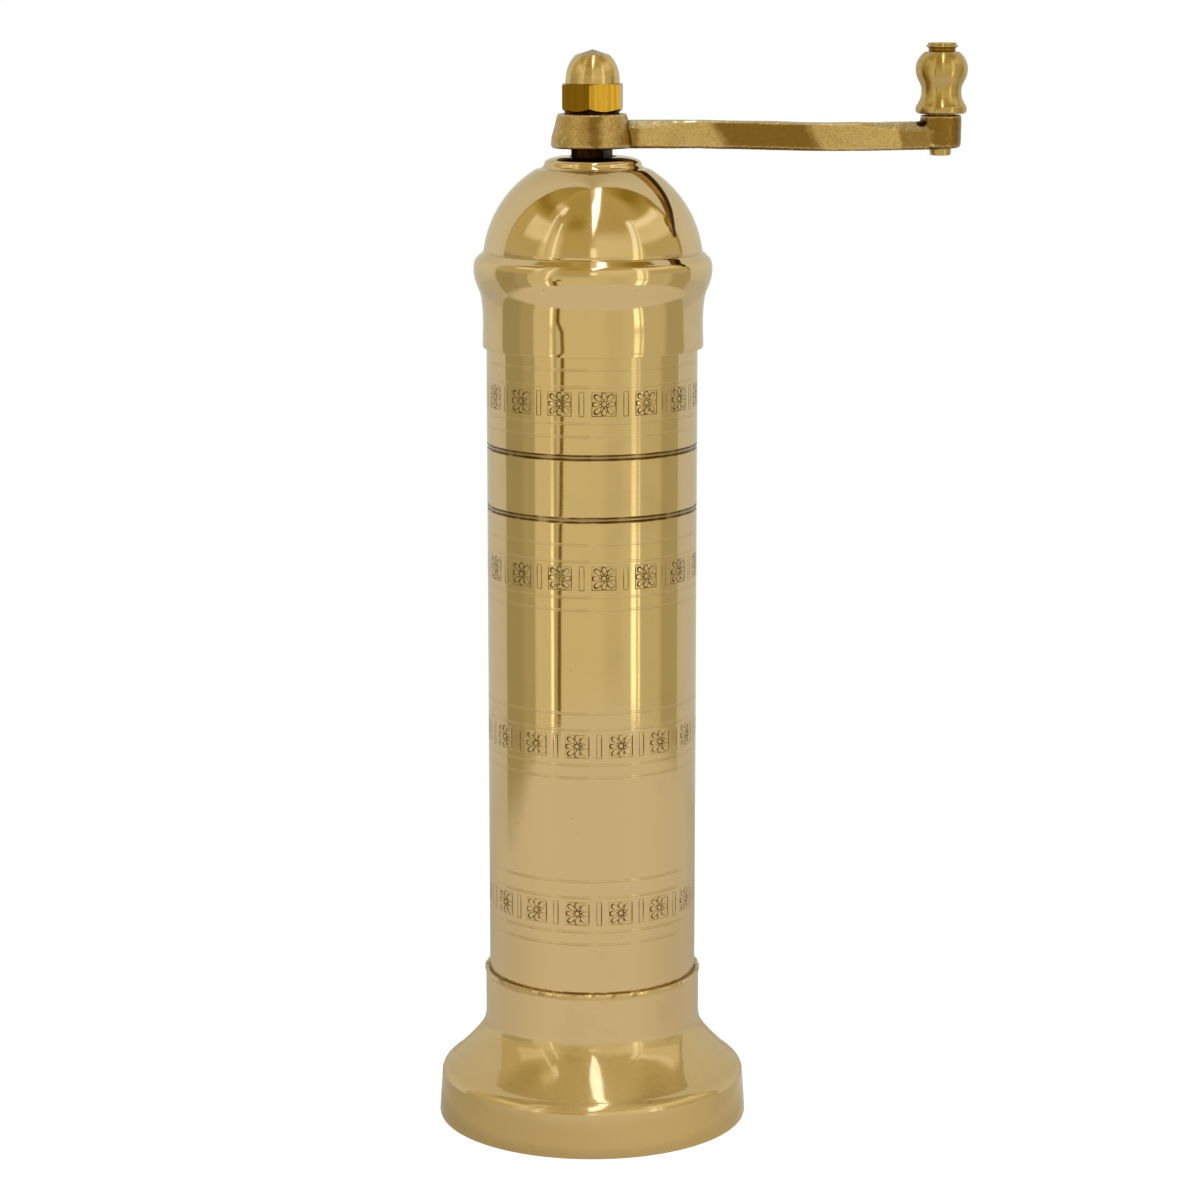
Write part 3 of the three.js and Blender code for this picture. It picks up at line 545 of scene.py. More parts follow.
def off_petal(u, v, kind, turn):
    """How far a place lies outside a petal's edge. Inside is negative."""
    middle, length, width = petals[kind]
    along = u * math.cos(turn) + v * math.sin(turn)
    aside = -u * math.sin(turn) + v * math.cos(turn)
    x = (along - middle) / length
    wide = width * (1 + petal_taper * max(-1, min(1, x)))
    return (math.hypot(x, aside / wide) - 1) * width


def relief(u, v):
    """Depth pressed into the tube, at a place in a band's cell measured from a square's middle."""
    depth = max(notch(v - place, *line_groove) for place, _ in line_places)
    inside = off_frame(u, v, *square_half)
    cuts = [notch(inside, *edge_groove), notch(off_frame(u - pitch / 2, v, *bar_half), *edge_groove)]
    if inside > 0:
        edge = min(off_petal(u, v, k % 2, k * math.pi / 4) for k in range(8))
        cuts.append(notch(edge, *petal_groove))
        cuts.append(notch(math.hypot(u, v) - ring_groove[0], *ring_groove[1:]))
    return max(depth, *cuts)


def dirt_and_shade_at(u, v, worn):
    """How much old polish sits in the relief, plus painted shade on the right side of each frame and
    the left flanks of the petals, which is nearly all of it where worn.
    """
    if abs(v) > 3 * mm:
        return max(notch(v - place, *line_groove) / line_groove[1] * (0.32 if side < 0 else 0.14)
                   for place, side in line_places)
    found = 0.0
    # shares for the left, right, lower and upper side of a frame; the heavier right side is painted
    # shade
    square_shares = (0.15, 1.0, 0.2, 0.06) if worn else (0.4, 0.6, 0.45, 0.2)
    bar_shares = (0.35, 1.0, 0.2, 0.1) if worn else (0.55, 0.45, 0.35, 0.2)
    petal_floor = 0.06 if worn else 0.3
    for centre, half, weights in ((0, square_half, square_shares), (pitch / 2, bar_half, bar_shares)):
        inside = off_frame(u - centre, v, *half)
        groove = notch(inside, *edge_groove) / edge_groove[1]
        upright = half[0] - abs(u - centre) < half[1] - abs(v)
        side = int(u > centre) if upright else 2 + int(v > 0)
        found = max(found, groove * weights[side])
    if off_frame(u, v, *square_half) > 0:
        for k in range(8):
            turn = k * math.pi / 4
            edge = notch(off_petal(u, v, k % 2, turn), *petal_groove) / petal_groove[1]
            middle = petals[k % 2][0]
            off_u, off_v = u - middle * math.cos(turn), v - middle * math.sin(turn)
            # painted shade: the left flanks of the petals are darker
            left_flank_shade = 0.5 - 0.5 * off_u / (math.hypot(off_u, off_v) + 1e-9)
            near_ring = max(0, 1 - (math.hypot(u, v) - 0.7 * mm) / (0.6 * mm))
            found = max(found, edge * (petal_floor + 0.75 * left_flank_shade ** 1.8 + 0.35 * near_ring))
        ring = notch(math.hypot(u, v) - ring_groove[0], *ring_groove[1:]) / ring_groove[2]
        wedge = math.hypot(abs(u) - wedge_at[0], abs(v) - wedge_at[1])
        found = max(found, 0.75 * ring, 0.7 - wedge / (0.4 * mm))
    return 2.0 * found


def loop(points):
    """Points of a closed line with the edges that join them."""
    count = len(points)
    return points, [(i, (i + 1) % count) for i in range(count)]


def frame_loop(half_u, half_v, steps, centre=0.0):
    """A rectangle's points, counted round it."""
    corners = [(-half_u, -half_v), (half_u, -half_v), (half_u, half_v), (-half_u, half_v)]
    made = []
    for (u0, v0), (u1, v1) in zip(corners, corners[1:] + corners[:1]):
        made += [(centre + u0 + (u1 - u0) * i / steps, v0 + (v1 - v0) * i / steps)
                 for i in range(steps)]
    return loop(made)


def petal_loop(kind_turn, grow, steps=15):
    """A petal's outline, made larger all round."""
    middle, length, width = petals[kind_turn % 2]
    turn, scale = kind_turn * math.pi / 4, 1 + grow / width
    made = []
    for i in range(steps):
        t = 2 * math.pi * i / steps
        along = middle + length * scale * math.cos(t)
        aside = width * scale * math.sin(t) * (1 + petal_taper * math.cos(t))
        made.append((along * math.cos(turn) - aside * math.sin(turn),
                     along * math.sin(turn) + aside * math.cos(turn)))
    return loop(made)


def band_cell():
    """Corners and triangles of one square with its bar and lines, as (u, v) and triples."""
    lines, rows = [], [band_low, -5.3 * mm, -3.3 * mm, 2.9 * mm, 5.2 * mm, band_high]
    for place in groove_rows:
        lines += [petal_loop(k, place * petal_groove[0]) for k in range(8)]
        radius = ring_groove[0] + place * ring_groove[1]
        lines.append(loop([(radius * math.cos(math.pi * i / 8), radius * math.sin(math.pi * i / 8))
                           for i in range(16)]))
        inset = place * edge_groove[0]
        lines.append(frame_loop(square_half[0] - inset, square_half[1] - inset, 7))
        lines.append(frame_loop(bar_half[0] - inset, bar_half[1] - inset, 4, pitch / 2))
    for place in (-1.5, *groove_rows, 1.5):
        rows += [line + place * line_groove[0] for line, _ in line_places]
    lines += [([(side * wedge_at[0], rise * wedge_at[1])], [])
              for side in (-1, 1) for rise in (-1, 1)]
    guard = edge_groove[0] + 0.07 * mm
    lines.append(frame_loop(square_half[0] + guard, square_half[1] + guard, 7))
    lines.append(frame_loop(bar_half[0] + guard, bar_half[1] + guard, 4, pitch / 2))
    for v in rows:
        row = [(cell_start + pitch * i / edge_steps, v) for i in range(edge_steps + 1)]
        lines.append((row, [(i, i + 1) for i in range(edge_steps)]))
    for v in (-1.6 * mm, 0, 1.6 * mm):
        lines.append(([(cell_start, v)], []))
        lines.append(([(cell_start + pitch, v)], []))
    corners, edges = [], []
    for points, joins in lines:
        edges += [(a + len(corners), b + len(corners)) for a, b in joins]
        corners += [Vector(p) * 1000 for p in points]
    verts, _, triangles, *_ = delaunay_2d_cdt(corners, edges, [], 0, 1e-5)
    return [(p.x * mm, p.y * mm) for p in verts], triangles


band_low, band_high = -7.4 * mm, 7.7 * mm
cell_corners, cell_triangles = band_cell()
tube_faces = bmesh.new()
tube_dirt_and_shade = tube_faces.verts.layers.float.new("dirt")
tube_outward = tube_faces.verts.layers.float_vector.new("outward")


def tube_vert(turn, z, depth=0.0, slope_u=0.0, slope_v=0.0, dirt=0.0):
    """A corner of the tube's outside with its normal. Turn is from the front towards the crank."""
    radius = tube_radius - depth
    out = Vector((math.sin(turn), -math.cos(turn), 0))
    side = Vector((math.cos(turn), math.sin(turn), 0))
    if depth > 0:
        wander = noise.noise(out * 9 + Vector((0, 0, z * 40)))
        dirt *= 1 + 0.9 * noise.noise(out * 14 + Vector((0, 0, z * 400)))
        z += 0.05 * mm * wander
    vert = tube_faces.verts.new((axis_x + out.x * radius, out.y * radius, z))
    vert[tube_dirt_and_shade] = max(0, min(1, dirt))
    vert[tube_outward] = (out + side * slope_u + Vector((0, 0, slope_v))).normalized()
    return vert


def slopes(u, v, step=0.004 * mm):
    """How fast the relief deepens along u and along v."""
    return ((relief(u + step, v) - relief(u - step, v)) / (2 * step),
            (relief(u, v + step) - relief(u, v - step)) / (2 * step))


cell_relief = [(relief(u, v), *slopes(u, v)) for u, v in cell_corners]
cell_dirt_and_shade = {worn: [dirt_and_shade_at(u, v, worn) for u, v in cell_corners] for worn in (False, True)}
for height, start_deg in zip(band_heights, band_turn_deg):
    dirty = cell_dirt_and_shade[height < 100]
    for square in range(squares):
        start = math.radians(start_deg) + 2 * math.pi * square / squares
        made = [tube_vert(start + u / tube_radius, height * mm + v, *pressed, dirt)
                for (u, v), pressed, dirt in zip(cell_corners, cell_relief, dirty)]
        for corners in cell_triangles:
            tube_faces.faces.new([made[i] for i in corners])


def between_grooves(z):
    """Old polish also sits on the narrow land between the two grooves of a pair."""
    return max(notch(z - middle * mm, 0.42 * mm, 0.5) for middle in pair_middles)


def deep_relief(z):
    """Depth of the deep grooves at a height."""
    return sum(notch(z - height * mm, half * mm, depth * mm) for height, half, depth in deep_lines)


def plain_rows(low, high):
    """Heights of the rows between two bands, close together across the deep grooves."""
    rows = {low, high} | {low + (high - low) * i / 4 for i in range(1, 4)}
    for height, half, _ in deep_lines:
        for k in (-1.2, -1, -0.6, -0.2, 0.2, 0.6, 1, 1.2):
            z = (height + k * half) * mm
            if low < z < high and all(abs(z - row) > 0.02 * mm for row in rows):
                rows.add(z)
    return sorted(rows)


def ring_turns(start_deg):
    """Turns of a band's edge corners, all round."""
    first = math.radians(start_deg) + cell_start / tube_radius
    count = squares * edge_steps
    return [first + 2 * math.pi * i / count for i in range(count)]


def skin(faces, lower, upper):
    """Four-sided faces all round between two rings of as many corners."""
    for i in range(len(lower)):
        n = (i + 1) % len(lower)
        faces.faces.new([lower[i], lower[n], upper[n], upper[i]])


edges_up = [tube_low.z] + [h * mm + e for h in band_heights for e in (band_low, band_high)]
edges_up.append(tube_high.z)
turns_up = [band_turn_deg[0]] + [t for t in band_turn_deg for _ in (0, 1)] + [band_turn_deg[-1]]
for k in range(0, len(edges_up), 2):
    low, high = edges_up[k], edges_up[k + 1]
    below, above = ring_turns(turns_up[k]), ring_turns(turns_up[k + 1])
    rows = []
    for z in plain_rows(low, high):
        share = (z - low) / (high - low)
        slope = (deep_relief(z + 0.03 * mm) - deep_relief(z - 0.03 * mm)) / (0.06 * mm)
        depth = deep_relief(z)
        dirt = 9 * depth / mm + between_grooves(z)
        rows.append([tube_vert(a + (b - a) * share, z, depth, 0, 0.3 * slope, dirt)
                     for a, b in zip(below, above)])
    for lower, upper in zip(rows, rows[1:]):
        skin(tube_faces, lower, upper)
bmesh.ops.remove_doubles(tube_faces, verts=tube_faces.verts, dist=0.004 * mm)

# the plain bore and the two cut ends close the tube
tube_wall = 1.2 * mm
bore_radius = tube_radius - tube_wall
ends = [sorted((v for v in tube_faces.verts if abs(v.co.z - z) < 1e-7),
               key=lambda v: math.atan2(v.co.y, v.co.x - axis_x)) for z in (tube_low.z, tube_high.z)]
bores = []
for end in ends:
    ring = []
    for vert in end:
        out = Vector((vert.co.x - axis_x, vert.co.y, 0)).normalized()
        bore_vert = tube_faces.verts.new(
            (axis_x + out.x * bore_radius, out.y * bore_radius, vert.co.z))
        bore_vert[tube_outward] = -out
        ring.append(bore_vert)
    bores.append(ring)
for first, second in ((ends[0], bores[0]), (bores[0], bores[1]), (bores[1], ends[1])):
    skin(tube_faces, first, second)
tube = finished("engraved_tube", tube_faces, "body", ["body_tube"], sharp_deg=60)
outward = tube.data.attributes["outward"]
tube.data.normals_split_custom_set_from_vertices([item.vector for item in outward.data])
tube.data.attributes.remove(outward)
tube.data.materials.append(brass("engraved_brass", wave=0.12, dirt="dirt"))

# Cap: spun from brass sheet in one piece, with a boss that the spindle comes through, a dome, a
# rolled bead, a cove and a straight skirt that slips over the tube.
cap_low, cap_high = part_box("cap")
skirt_z, cap_top = cap_low.z / mm, cap_high.z / mm
skirt_r, dome_r, cap_wall = tube_r + 0.9, tube_r + 0.9, 1.2
bead_r = (cap_high.x - cap_low.x) / 2 / mm
cove_z, bead_top = skirt_z + 14.2, skirt_z + 20.0
dome_z = bead_top - dome_r * 0.119
boss_r, hole_r = 12.0, 5.04
boss_z = dome_z + math.sqrt(dome_r ** 2 - boss_r ** 2)


def dome_arc(radius, start, end, steps):
    """Corners along the dome between two angles over the level."""
    turns = [start + (end - start) * i / steps for i in range(steps + 1)]
    return [(radius * math.cos(t), dome_z + radius * math.sin(t), 0) for t in turns]


dome_start = math.asin((bead_top + 0.1 - dome_z) / dome_r)
dome_end = math.acos((boss_r + 0.1) / dome_r)
inner_r = dome_r - cap_wall
inner_start = math.acos((hole_r + 1.6) / inner_r)
inner_end = math.asin((skirt_z + 18.9 - dome_z) / inner_r)
bead_start, bead_middle = (bead_r - 1.1, skirt_z + 12.0), (bead_r, skirt_z + 16.0)
bead_end = (bead_r - 0.75, skirt_z + 18.8)
cap_outline = [
    (skirt_r + 0.1, skirt_z, 0.15),
    (skirt_r + 0.1, skirt_z + 1.0, 0.3),
    *bow(12, (skirt_r, skirt_z + 5.0), (skirt_r + 0.03, skirt_z + 10.2), bead_start),
    *bow(12, bead_start, (bead_r - 0.05, skirt_z + 14.3), bead_middle)[1:],
    *bow(10, bead_middle, (bead_r, skirt_z + 18.3), bead_end)[1:],
    *bow(6, bead_end, (bead_r - 1.15, skirt_z + 19.2), (dome_r + 0.15, bead_top - 0.2))[1:],
    (dome_r - 0.25, bead_top - 0.1, 0.15),
    *dome_arc(dome_r, dome_start, dome_end, 40),
    (boss_r - 0.35, boss_z + 0.12, 0.12),
    *bow(8, (boss_r - 0.9, boss_z + 0.2), (boss_r - 1.75, boss_z + 0.45),
         (boss_r - 1.9, boss_z + 1.35)),
    *bow(8, (boss_r - 2.0, boss_z + 1.6), (boss_r - 2.6, cap_top - 0.35), (6.9, cap_top)),
    (hole_r, cap_top, 0.1),
    (hole_r, dome_z + inner_r - 0.6, 0.3),
    *dome_arc(inner_r, inner_start, inner_end, 24),
    (bead_r - 1.9, skirt_z + 18.9, 0.2),
    *bow(6, (bead_r - 1.3, cove_z + 3.4), (bead_r - 0.9, cove_z + 2.4), (bead_r - 1.5, cove_z)),
    *bow(6, (bead_r - 1.4, cove_z - 0.6), (tube_r + 0.4, skirt_z + 11.6),
         (tube_r + 0.35, skirt_z + 7.4)),
    (tube_r + 0.35, skirt_z, 0.1),
]
cap_x = axis_x + 0.2 * mm  # it sits a little to the right on the tube
cap = finished("cap_shell", turned(cap_outline, x=cap_x), "cap", ["cap"])
cap.data.materials.append(brass("spun_brass_cap", wave=0.45, wave_size=14 * mm))

# Spindle: square steel bar, blackened with oil and heat, turned round below where it runs in its
# bush. Above the cap it steps down to a smaller square for the crank, and ends in a thread.
spindle_foot, spindle_top = (corner.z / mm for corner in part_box("spindle"))
bar_turn = math.radians(-17.3)
bar_side, top_side = 7.05, 6.0
journal_r, thread_r = 3.2, 3.0
bush_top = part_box("guide_bush")[1].z / mm + 1.0
hub_z, square_top, thread_start = 209.0, 216.0, 215.9


def square_ring(half, rounding):
    """The rounded square section of the bar."""
    corners = [(half, -half), (half, half), (-half, half), (-half, -half)]
    made = []
    for i, corner in enumerate(corners):
        before, after = Vector(corners[i - 1]), Vector(corners[(i + 1) % 4])
        made += fillet(before, Vector(corner), after, rounding, 4)
    return made


def loft(faces, rings):
    """Joins rings of as many corners to a skin, and closes its ends."""
    made = [[faces.verts.new(p) for p in ring] for ring in rings]
    for low, high in zip(made, made[1:]):
        skin(faces, low, high)
    faces.faces.new(made[0][::-1])
    faces.faces.new(made[-1])
    return faces


def square_bar(faces, side, low, high, chamfer=0.35):
    """A square bar on the mill's axis, turned as the spindle is, with chamfered ends."""
    levels = [(low, -chamfer), (low + chamfer, 0), (high - chamfer, 0), (high, -chamfer)]
    rings = []
    for z, shrink in levels:
        ring = square_ring(side / 2 + shrink, 0.45)
        turned_ring = [Matrix.Rotation(bar_turn, 2) @ p for p in ring]
        rings.append([(axis_x + p.x * mm, p.y * mm, z * mm) for p in turned_ring])
    return loft(faces, rings)


def thread(faces, radius, low, high):
    """A screw thread: the radius follows a helix, and runs out at both ends."""
    thread_pitch, depth, sides = 1.0, 0.55, 40
    steps = int((high - low) / thread_pitch * 8)
    rings = []
    for k in range(steps + 1):
        z = low + (high - low) * k / steps
        fade = min(1, (z - low) / 0.8, (high - z) / 0.8)
        ring = []
        for i in range(sides):
            angle = 2 * math.pi * i / sides
            phase = (z / thread_pitch - i / sides) % 1
            groove = depth * min(1, 1.25 * (1 - abs(2 * phase - 1)))
            r = radius - (groove * fade + 0.5 * depth * (1 - fade))
            ring.append((axis_x + r * mm * math.cos(angle), r * mm * math.sin(angle), z * mm))
        rings.append(ring)
    return loft(faces, rings)


spindle_faces = turned([
    (0, spindle_foot + 0.9, 0), (1.2, spindle_foot + 0.9, 0), (1.75, spindle_foot, 0.1),
    (journal_r, spindle_foot, 0.3), (journal_r, bush_top + 0.5, 0), (0, bush_top + 0.5, 0),
], sides=96)
square_bar(spindle_faces, bar_side, bush_top, hub_z - 0.02, 0.12)
square_bar(spindle_faces, top_side, hub_z - 0.4, square_top)
thread(spindle_faces, thread_r, thread_start, spindle_top)
spindle = finished("spindle_bar", spindle_faces, "spindle", ["spindle"])

# burnt oil leaves the spindle near black, with rusty blotches; on the washer the same black is also
# painted shade
blackened = Metal("blackened_steel")
blotch = blackened.noise(260, 6, 0.7)
blotches = blackened.blend(
    blackened.smooth(blotch, 0.42, 0.68), (0.016, 0.006, 0.002), (0.13, 0.06, 0.022))
black_steel_and_shade = blackened.surface(
    blotches, 0.42 + blotch * 0.3, blackened.bump(blackened.noise(1500, 3), 0.5, 0.08 * mm))
spindle.data.materials.append(black_steel_and_shade)

# Crank: one brass casting, sand-rough and only lightly filed: a tapered hub with a square hole, a
# bar that bows away and back, with its top edges filed off near both ends, and a round end boss.
crank_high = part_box("crank_arm")[1]
end_boss_r, pin_hole_r = 4.25, 2.4
end_boss_x = crank_high.x - end_boss_r * mm
throw = (crank_high.x - axis_x) / mm - end_boss_r
hub_foot_r, hub_middle_r, hub_top_r, hub_height = 8.6, 8.35, 7.2, 7.1
arm_height, arm_depth, arm_steps = 5.7, 5.8, 48
arm_swing, arm_sag = 1.6, 0.45
boss_z_low, boss_z_high = hub_z, hub_z + 6.8


def along_curve(controls, share):
    """A point on the smooth line through the controls, which are spread evenly."""
    spans = len(controls) - 1
    span = min(int(share * spans), spans - 1)
    t = share * spans - span
    p0, p1 = controls[max(span - 1, 0)], controls[span]
    p2, p3 = controls[span + 1], controls[min(span + 2, spans)]
    return 0.5 * (2 * p1 + (p2 - p0) * t + (2 * p0 - 5 * p1 + 4 * p2 - p3) * t ** 2
                  + (3 * p1 - p0 - 3 * p2 + p3) * t ** 3)


arm_line = [Vector(p) for p in (
    (0, 0, 0), (throw * 0.33, arm_swing, -arm_sag * 0.2), (throw * 0.68, -arm_swing, -arm_sag),
    (throw, 0, -arm_sag * 0.4))]
arm_rings = []
for k in range(arm_steps + 1):
    share = 0.04 + 0.94 * k / arm_steps
    centre = along_curve(arm_line, share)
    along = (along_curve(arm_line, share + 0.01) - along_curve(arm_line, share - 0.01)).normalized()
    aside = Vector((-along.y, along.x, 0)).normalized()
    bevel = 0.4 + 1.5 * max(0, math.cos(share * 2 * math.pi)) ** 0.6
    high, low, half = arm_height / 2, -arm_height / 2, arm_depth / 2
    section = [(half - 0.5, low), (half, low + 0.6), (half, high - bevel),
               (half - bevel * 0.6, high), (-half + bevel * 0.6, high), (-half, high - bevel),
               (-half, low + 0.6), (-half + 0.5, low)]
    middle = Vector((axis_x / mm, 0, hub_z + arm_height / 2)) + centre
    arm_rings.append([(middle + aside * a + Vector((0, 0, b))) * mm for a, b in section])
arm_faces = loft(bmesh.new(), arm_rings)
turned([
    (0, hub_z, 0), (hub_foot_r, hub_z, 0.8), (hub_middle_r, hub_z + 2.5, 0),
    (hub_top_r, hub_z + hub_height, 0.5), (0, hub_z + hub_height, 0),
], 96, faces=arm_faces)
turned([
    (0, boss_z_low, 0), (end_boss_r, boss_z_low, 0.9), (end_boss_r, boss_z_high, 0.35),
    (0, boss_z_high, 0),
], 64, x=end_boss_x, faces=arm_faces)


def shaped(name, faces, *steps):
    """Puts a bmesh through modifiers and gives back what comes out."""
    scratch = placed(name, faces)
    for kind, settings in steps:
        modifier = scratch.modifiers.new(kind.lower(), kind)
        for key, value in settings.items():
            setattr(modifier, key, value)
    seen_now = scratch.evaluated_get(bpy.context.evaluated_depsgraph_get())
    made = bmesh.new()
    made.from_mesh(seen_now.to_mesh())
    bpy.data.objects.remove(scratch)
    return made


def boolean(operation, tool):
    """A modifier that joins a piece with another object or cuts it by one."""
    return "BOOLEAN", {"operation": operation, "solver": "EXACT", "object": tool}


# one skin over arm, hub and boss, with the grain of the sand on it
voxel = 0.2 * mm
crank_faces = shaped(
    "crank", arm_faces,
    ("REMESH", {"mode": "VOXEL", "voxel_size": voxel, "use_smooth_shade": True}),
    ("SMOOTH", {"factor": 0.5, "iterations": 2}))
for vert in crank_faces.verts:
    grain = noise.fractal(vert.co * 1300, 0.8, 2.0, 2) * 0.035 * mm
    swell = noise.noise(vert.co * 170) * 0.08 * mm
    vert.co += vert.normal * (grain + swell)

# the square hole in the hub and the round one in the boss
hole = square_bar(bmesh.new(), top_side + 0.4, hub_z - 2, hub_z + hub_height + 2)
turned([
    (0, boss_z_low - 2, 0), (pin_hole_r, boss_z_low - 2, 0), (pin_hole_r, boss_z_high + 2, 0),
    (0, boss_z_high + 2, 0),
], 48, x=end_boss_x, faces=hole)
hole_tool = placed("cutter", hole)
crank_faces = shaped("crank", crank_faces, boolean("DIFFERENCE", hole_tool))
bpy.data.objects.remove(hole_tool)
# the place of a patch of painted shade beside the end boss: millimetres out from the axis and up from
# the hub's foot
pocket_shade_spot = (68.3, 5.2)


def cast_brass(name):
    """Cast brass: brown where the sand skin is left, pale where filed, with painted glints on the
    top, a painted dark reflection along the middle of the arm, and painted shade underneath and
    beside the boss.
    """
    finish = Metal(name)
    pits, sand, cloud = finish.noise(3200, 4, 0.65), finish.noise(700, 3), finish.noise(110, 3)
    worn = finish.node("NewGeometry")["Pointiness"]
    slant = finish.node("SeparateXYZ", Vector=finish.node("NewGeometry")["Normal"])["Z"]
    spot = finish.node("SeparateXYZ", Vector=finish.place)
    from_axis = (spot["X"] - axis_x) / mm
    over_hub = spot["Z"] / mm - hub_z
    uneven = (cloud - 0.5) * 3 + (sand - 0.5) * 2

    def stretch(low, high, soft, lean=0.5):
        """1 between two places along the crank in millimetres, with uneven ends."""
        return finish.between(from_axis + uneven + over_hub * lean, low, high, soft)

    # pits and cloudy stains all over
    pitted = finish.smooth(pits, 0.42, 0.72) * 0.75
    shade = finish.blend(pitted, (0.57, 0.39, 0.15), (0.27, 0.155, 0.028))
    shade = finish.blend(finish.smooth(cloud, 0.5, 0.8) * 0.4, shade, (0.36, 0.225, 0.06))

    # the cast skin is left on the hub and at the end, and along the middle of the arm, where the dark
    # is also a painted dark reflection of the room
    cast_skin_and_dark_reflection = 0.85 * stretch(27.5, 47.5, 1.6)
    for low, high, soft, share in (
        (0.0, 2.3, 0.7, 0.75),
        (7.0, 9.4, 0.6, 0.7),
        (64.0, 70.0, 0.4, 0.65),
        (70.0, 90.0, 1.0, 0.85),
    ):
        cast_skin_and_dark_reflection = cast_skin_and_dark_reflection.maths("MAXIMUM", cast_skin_and_dark_reflection, share * stretch(low, high, soft, 0.0))
    shade = finish.blend(cast_skin_and_dark_reflection, shade, (0.17, 0.08, 0.002))

    # the file has been over what faces up; along one stretch of the top, bright specks are painted
    # glints; edges are worn
    filed = finish.smooth(slant, 0.25, 0.6)
    on_hub = finish.smooth(from_axis, 9.2, 8.2)
    duller = finish.blend(1.0, shade, (0.8, 0.76, 0.68), "MULTIPLY")
    shade = finish.blend(on_hub * 0.85, shade, duller)
    shade = finish.blend(filed * (0.85 - 0.3 * on_hub), shade, (0.36, 0.28, 0.15))
    # these bright specks are painted glints on the top along one stretch
    cuts = finish.smooth(finish.noise(420, 1), 0.56, 0.62) * filed * stretch(20.0, 29.0, 1.0)
    shade = finish.blend(cuts, shade, (1.0, 0.92, 0.7))
    shade = finish.blend(finish.smooth(worn, 0.505, 0.54) * 0.7, shade, (0.72, 0.52, 0.22))

    # painted shade: dark below, on top of the boss under the knob, and in a patch beside it
    underside_shade = finish.smooth(slant, -0.55, -0.85)
    boss_top = boss_z_high - hub_z
    boss_top_shade = finish.smooth(over_hub, boss_top - 0.4, boss_top - 0.2)
    at_end = finish.smooth(from_axis, throw - 6, throw - 4)
    boss_top_shade = boss_top_shade * at_end * finish.smooth(slant, 0.6, 0.9)
    pocket_x, pocket_z = from_axis - pocket_shade_spot[0], over_hub - pocket_shade_spot[1]
    pocket_far = (pocket_x * pocket_x + 2 * pocket_z * pocket_z) + uneven * 0.4
    pocket_shade = finish.smooth(pocket_far, 2.0, 0.8)
    shade = finish.blend(underside_shade, shade, (0.055, 0.026, 0.003))
    shade = finish.blend(boss_top_shade.maths("MAXIMUM", boss_top_shade, pocket_shade), shade, (0.02, 0.01, 0.003))
    rough = 0.27 + finish.smooth(sand, 0.35, 0.7) * 0.16 - cuts * 0.2
    return finish.surface(shade, rough, finish.bump(
        pits, 0.5, 0.05 * mm, finish.bump(sand, 0.55, 0.12 * mm)))


crank = finished("cast_crank", crank_faces, "crank", ["crank_arm"], sharp_deg=50)
crank.data.materials.append(cast_brass("cast_brass"))

# Washer: a thin steel ring that the nut turns on, blackened like the spindle; its black also paints
# the shade under the nut.
washer_low, washer_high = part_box("nut_washer")
washer_r = (washer_high.x - washer_low.x) / 2 / mm
washer_z = hub_z + hub_height + 0.02
washer_top, thread_hole_r = washer_z + 0.45, 3.25
washer_outline = [
    (washer_r, washer_z, 0.08), (washer_r, washer_top, 0.12),
    (thread_hole_r, washer_top, 0.05), (thread_hole_r, washer_z, 0.05),
]
washer = finished("nut_ring", turned(washer_outline, 96), "crank", ["nut_washer"])
washer.data.materials.append(black_steel_and_shade)

# Acorn nut: turned and milled from hexagon bar, with a pointed dome. The flats keep the mill's marks.
nut_z, nut_top = washer_z + 0.47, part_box("acorn_nut")[1].z / mm + 0.3
nut_across, hex_height = 12.0, 5.75
hex_top, dome_base, tip_r = nut_z + hex_height, 5.65, 3.55
dome_shoulder = hex_top + (nut_top - hex_top) * 0.42
corner_r = nut_across / math.sqrt(3)
nut_turn = math.radians(-95.8)
nut_x = axis_x + 0.15 * mm
nut_faces = loft(bmesh.new(), [[
    (nut_x + corner_r * mm * math.cos(nut_turn + k * math.pi / 3),
     corner_r * mm * math.sin(nut_turn + k * math.pi / 3), z * mm) for k in range(6)]
    for z in (nut_z, hex_top)])
chamfer_tool = placed("cutter", turned([
    (0, nut_z, 0), (nut_across / 2 - 0.1, nut_z, 0), (corner_r + 0.05, nut_z + 0.75, 0),
    (corner_r + 0.05, hex_top - 0.35, 0), (nut_across / 2, hex_top, 0), (0, hex_top, 0),
], 120, x=nut_x))
dome_tool = placed("cutter", turned([
    (0, hex_top - 0.5, 0), (dome_base, hex_top - 0.5, 0),
    *bow(16, (dome_base, hex_top + 0.5), (dome_base - 0.1, dome_shoulder),
         (dome_base - 0.7, nut_top - 2.6), (tip_r, nut_top - 1.15)),
    (0, nut_top, 0),
], 120, x=nut_x))
bore_tool = placed("cutter", turned([
    (0, nut_z - 1, 0), (thread_hole_r + 0.25, nut_z - 1, 0), (thread_hole_r, nut_z + 0.5, 0),
    (thread_hole_r, nut_z + 9, 0), (0, nut_z + 9, 0),
], 64))
nut_faces = shaped(
    "nut", nut_faces, boolean("INTERSECT", chamfer_tool), boolean("UNION", dome_tool),
    boolean("DIFFERENCE", bore_tool),
    ("BEVEL", {"width": 0.09 * mm, "segments": 2, "limit_method": "ANGLE",
               "angle_limit": math.radians(25)}))
for tool in (chamfer_tool, dome_tool, bore_tool):
    bpy.data.objects.remove(tool)


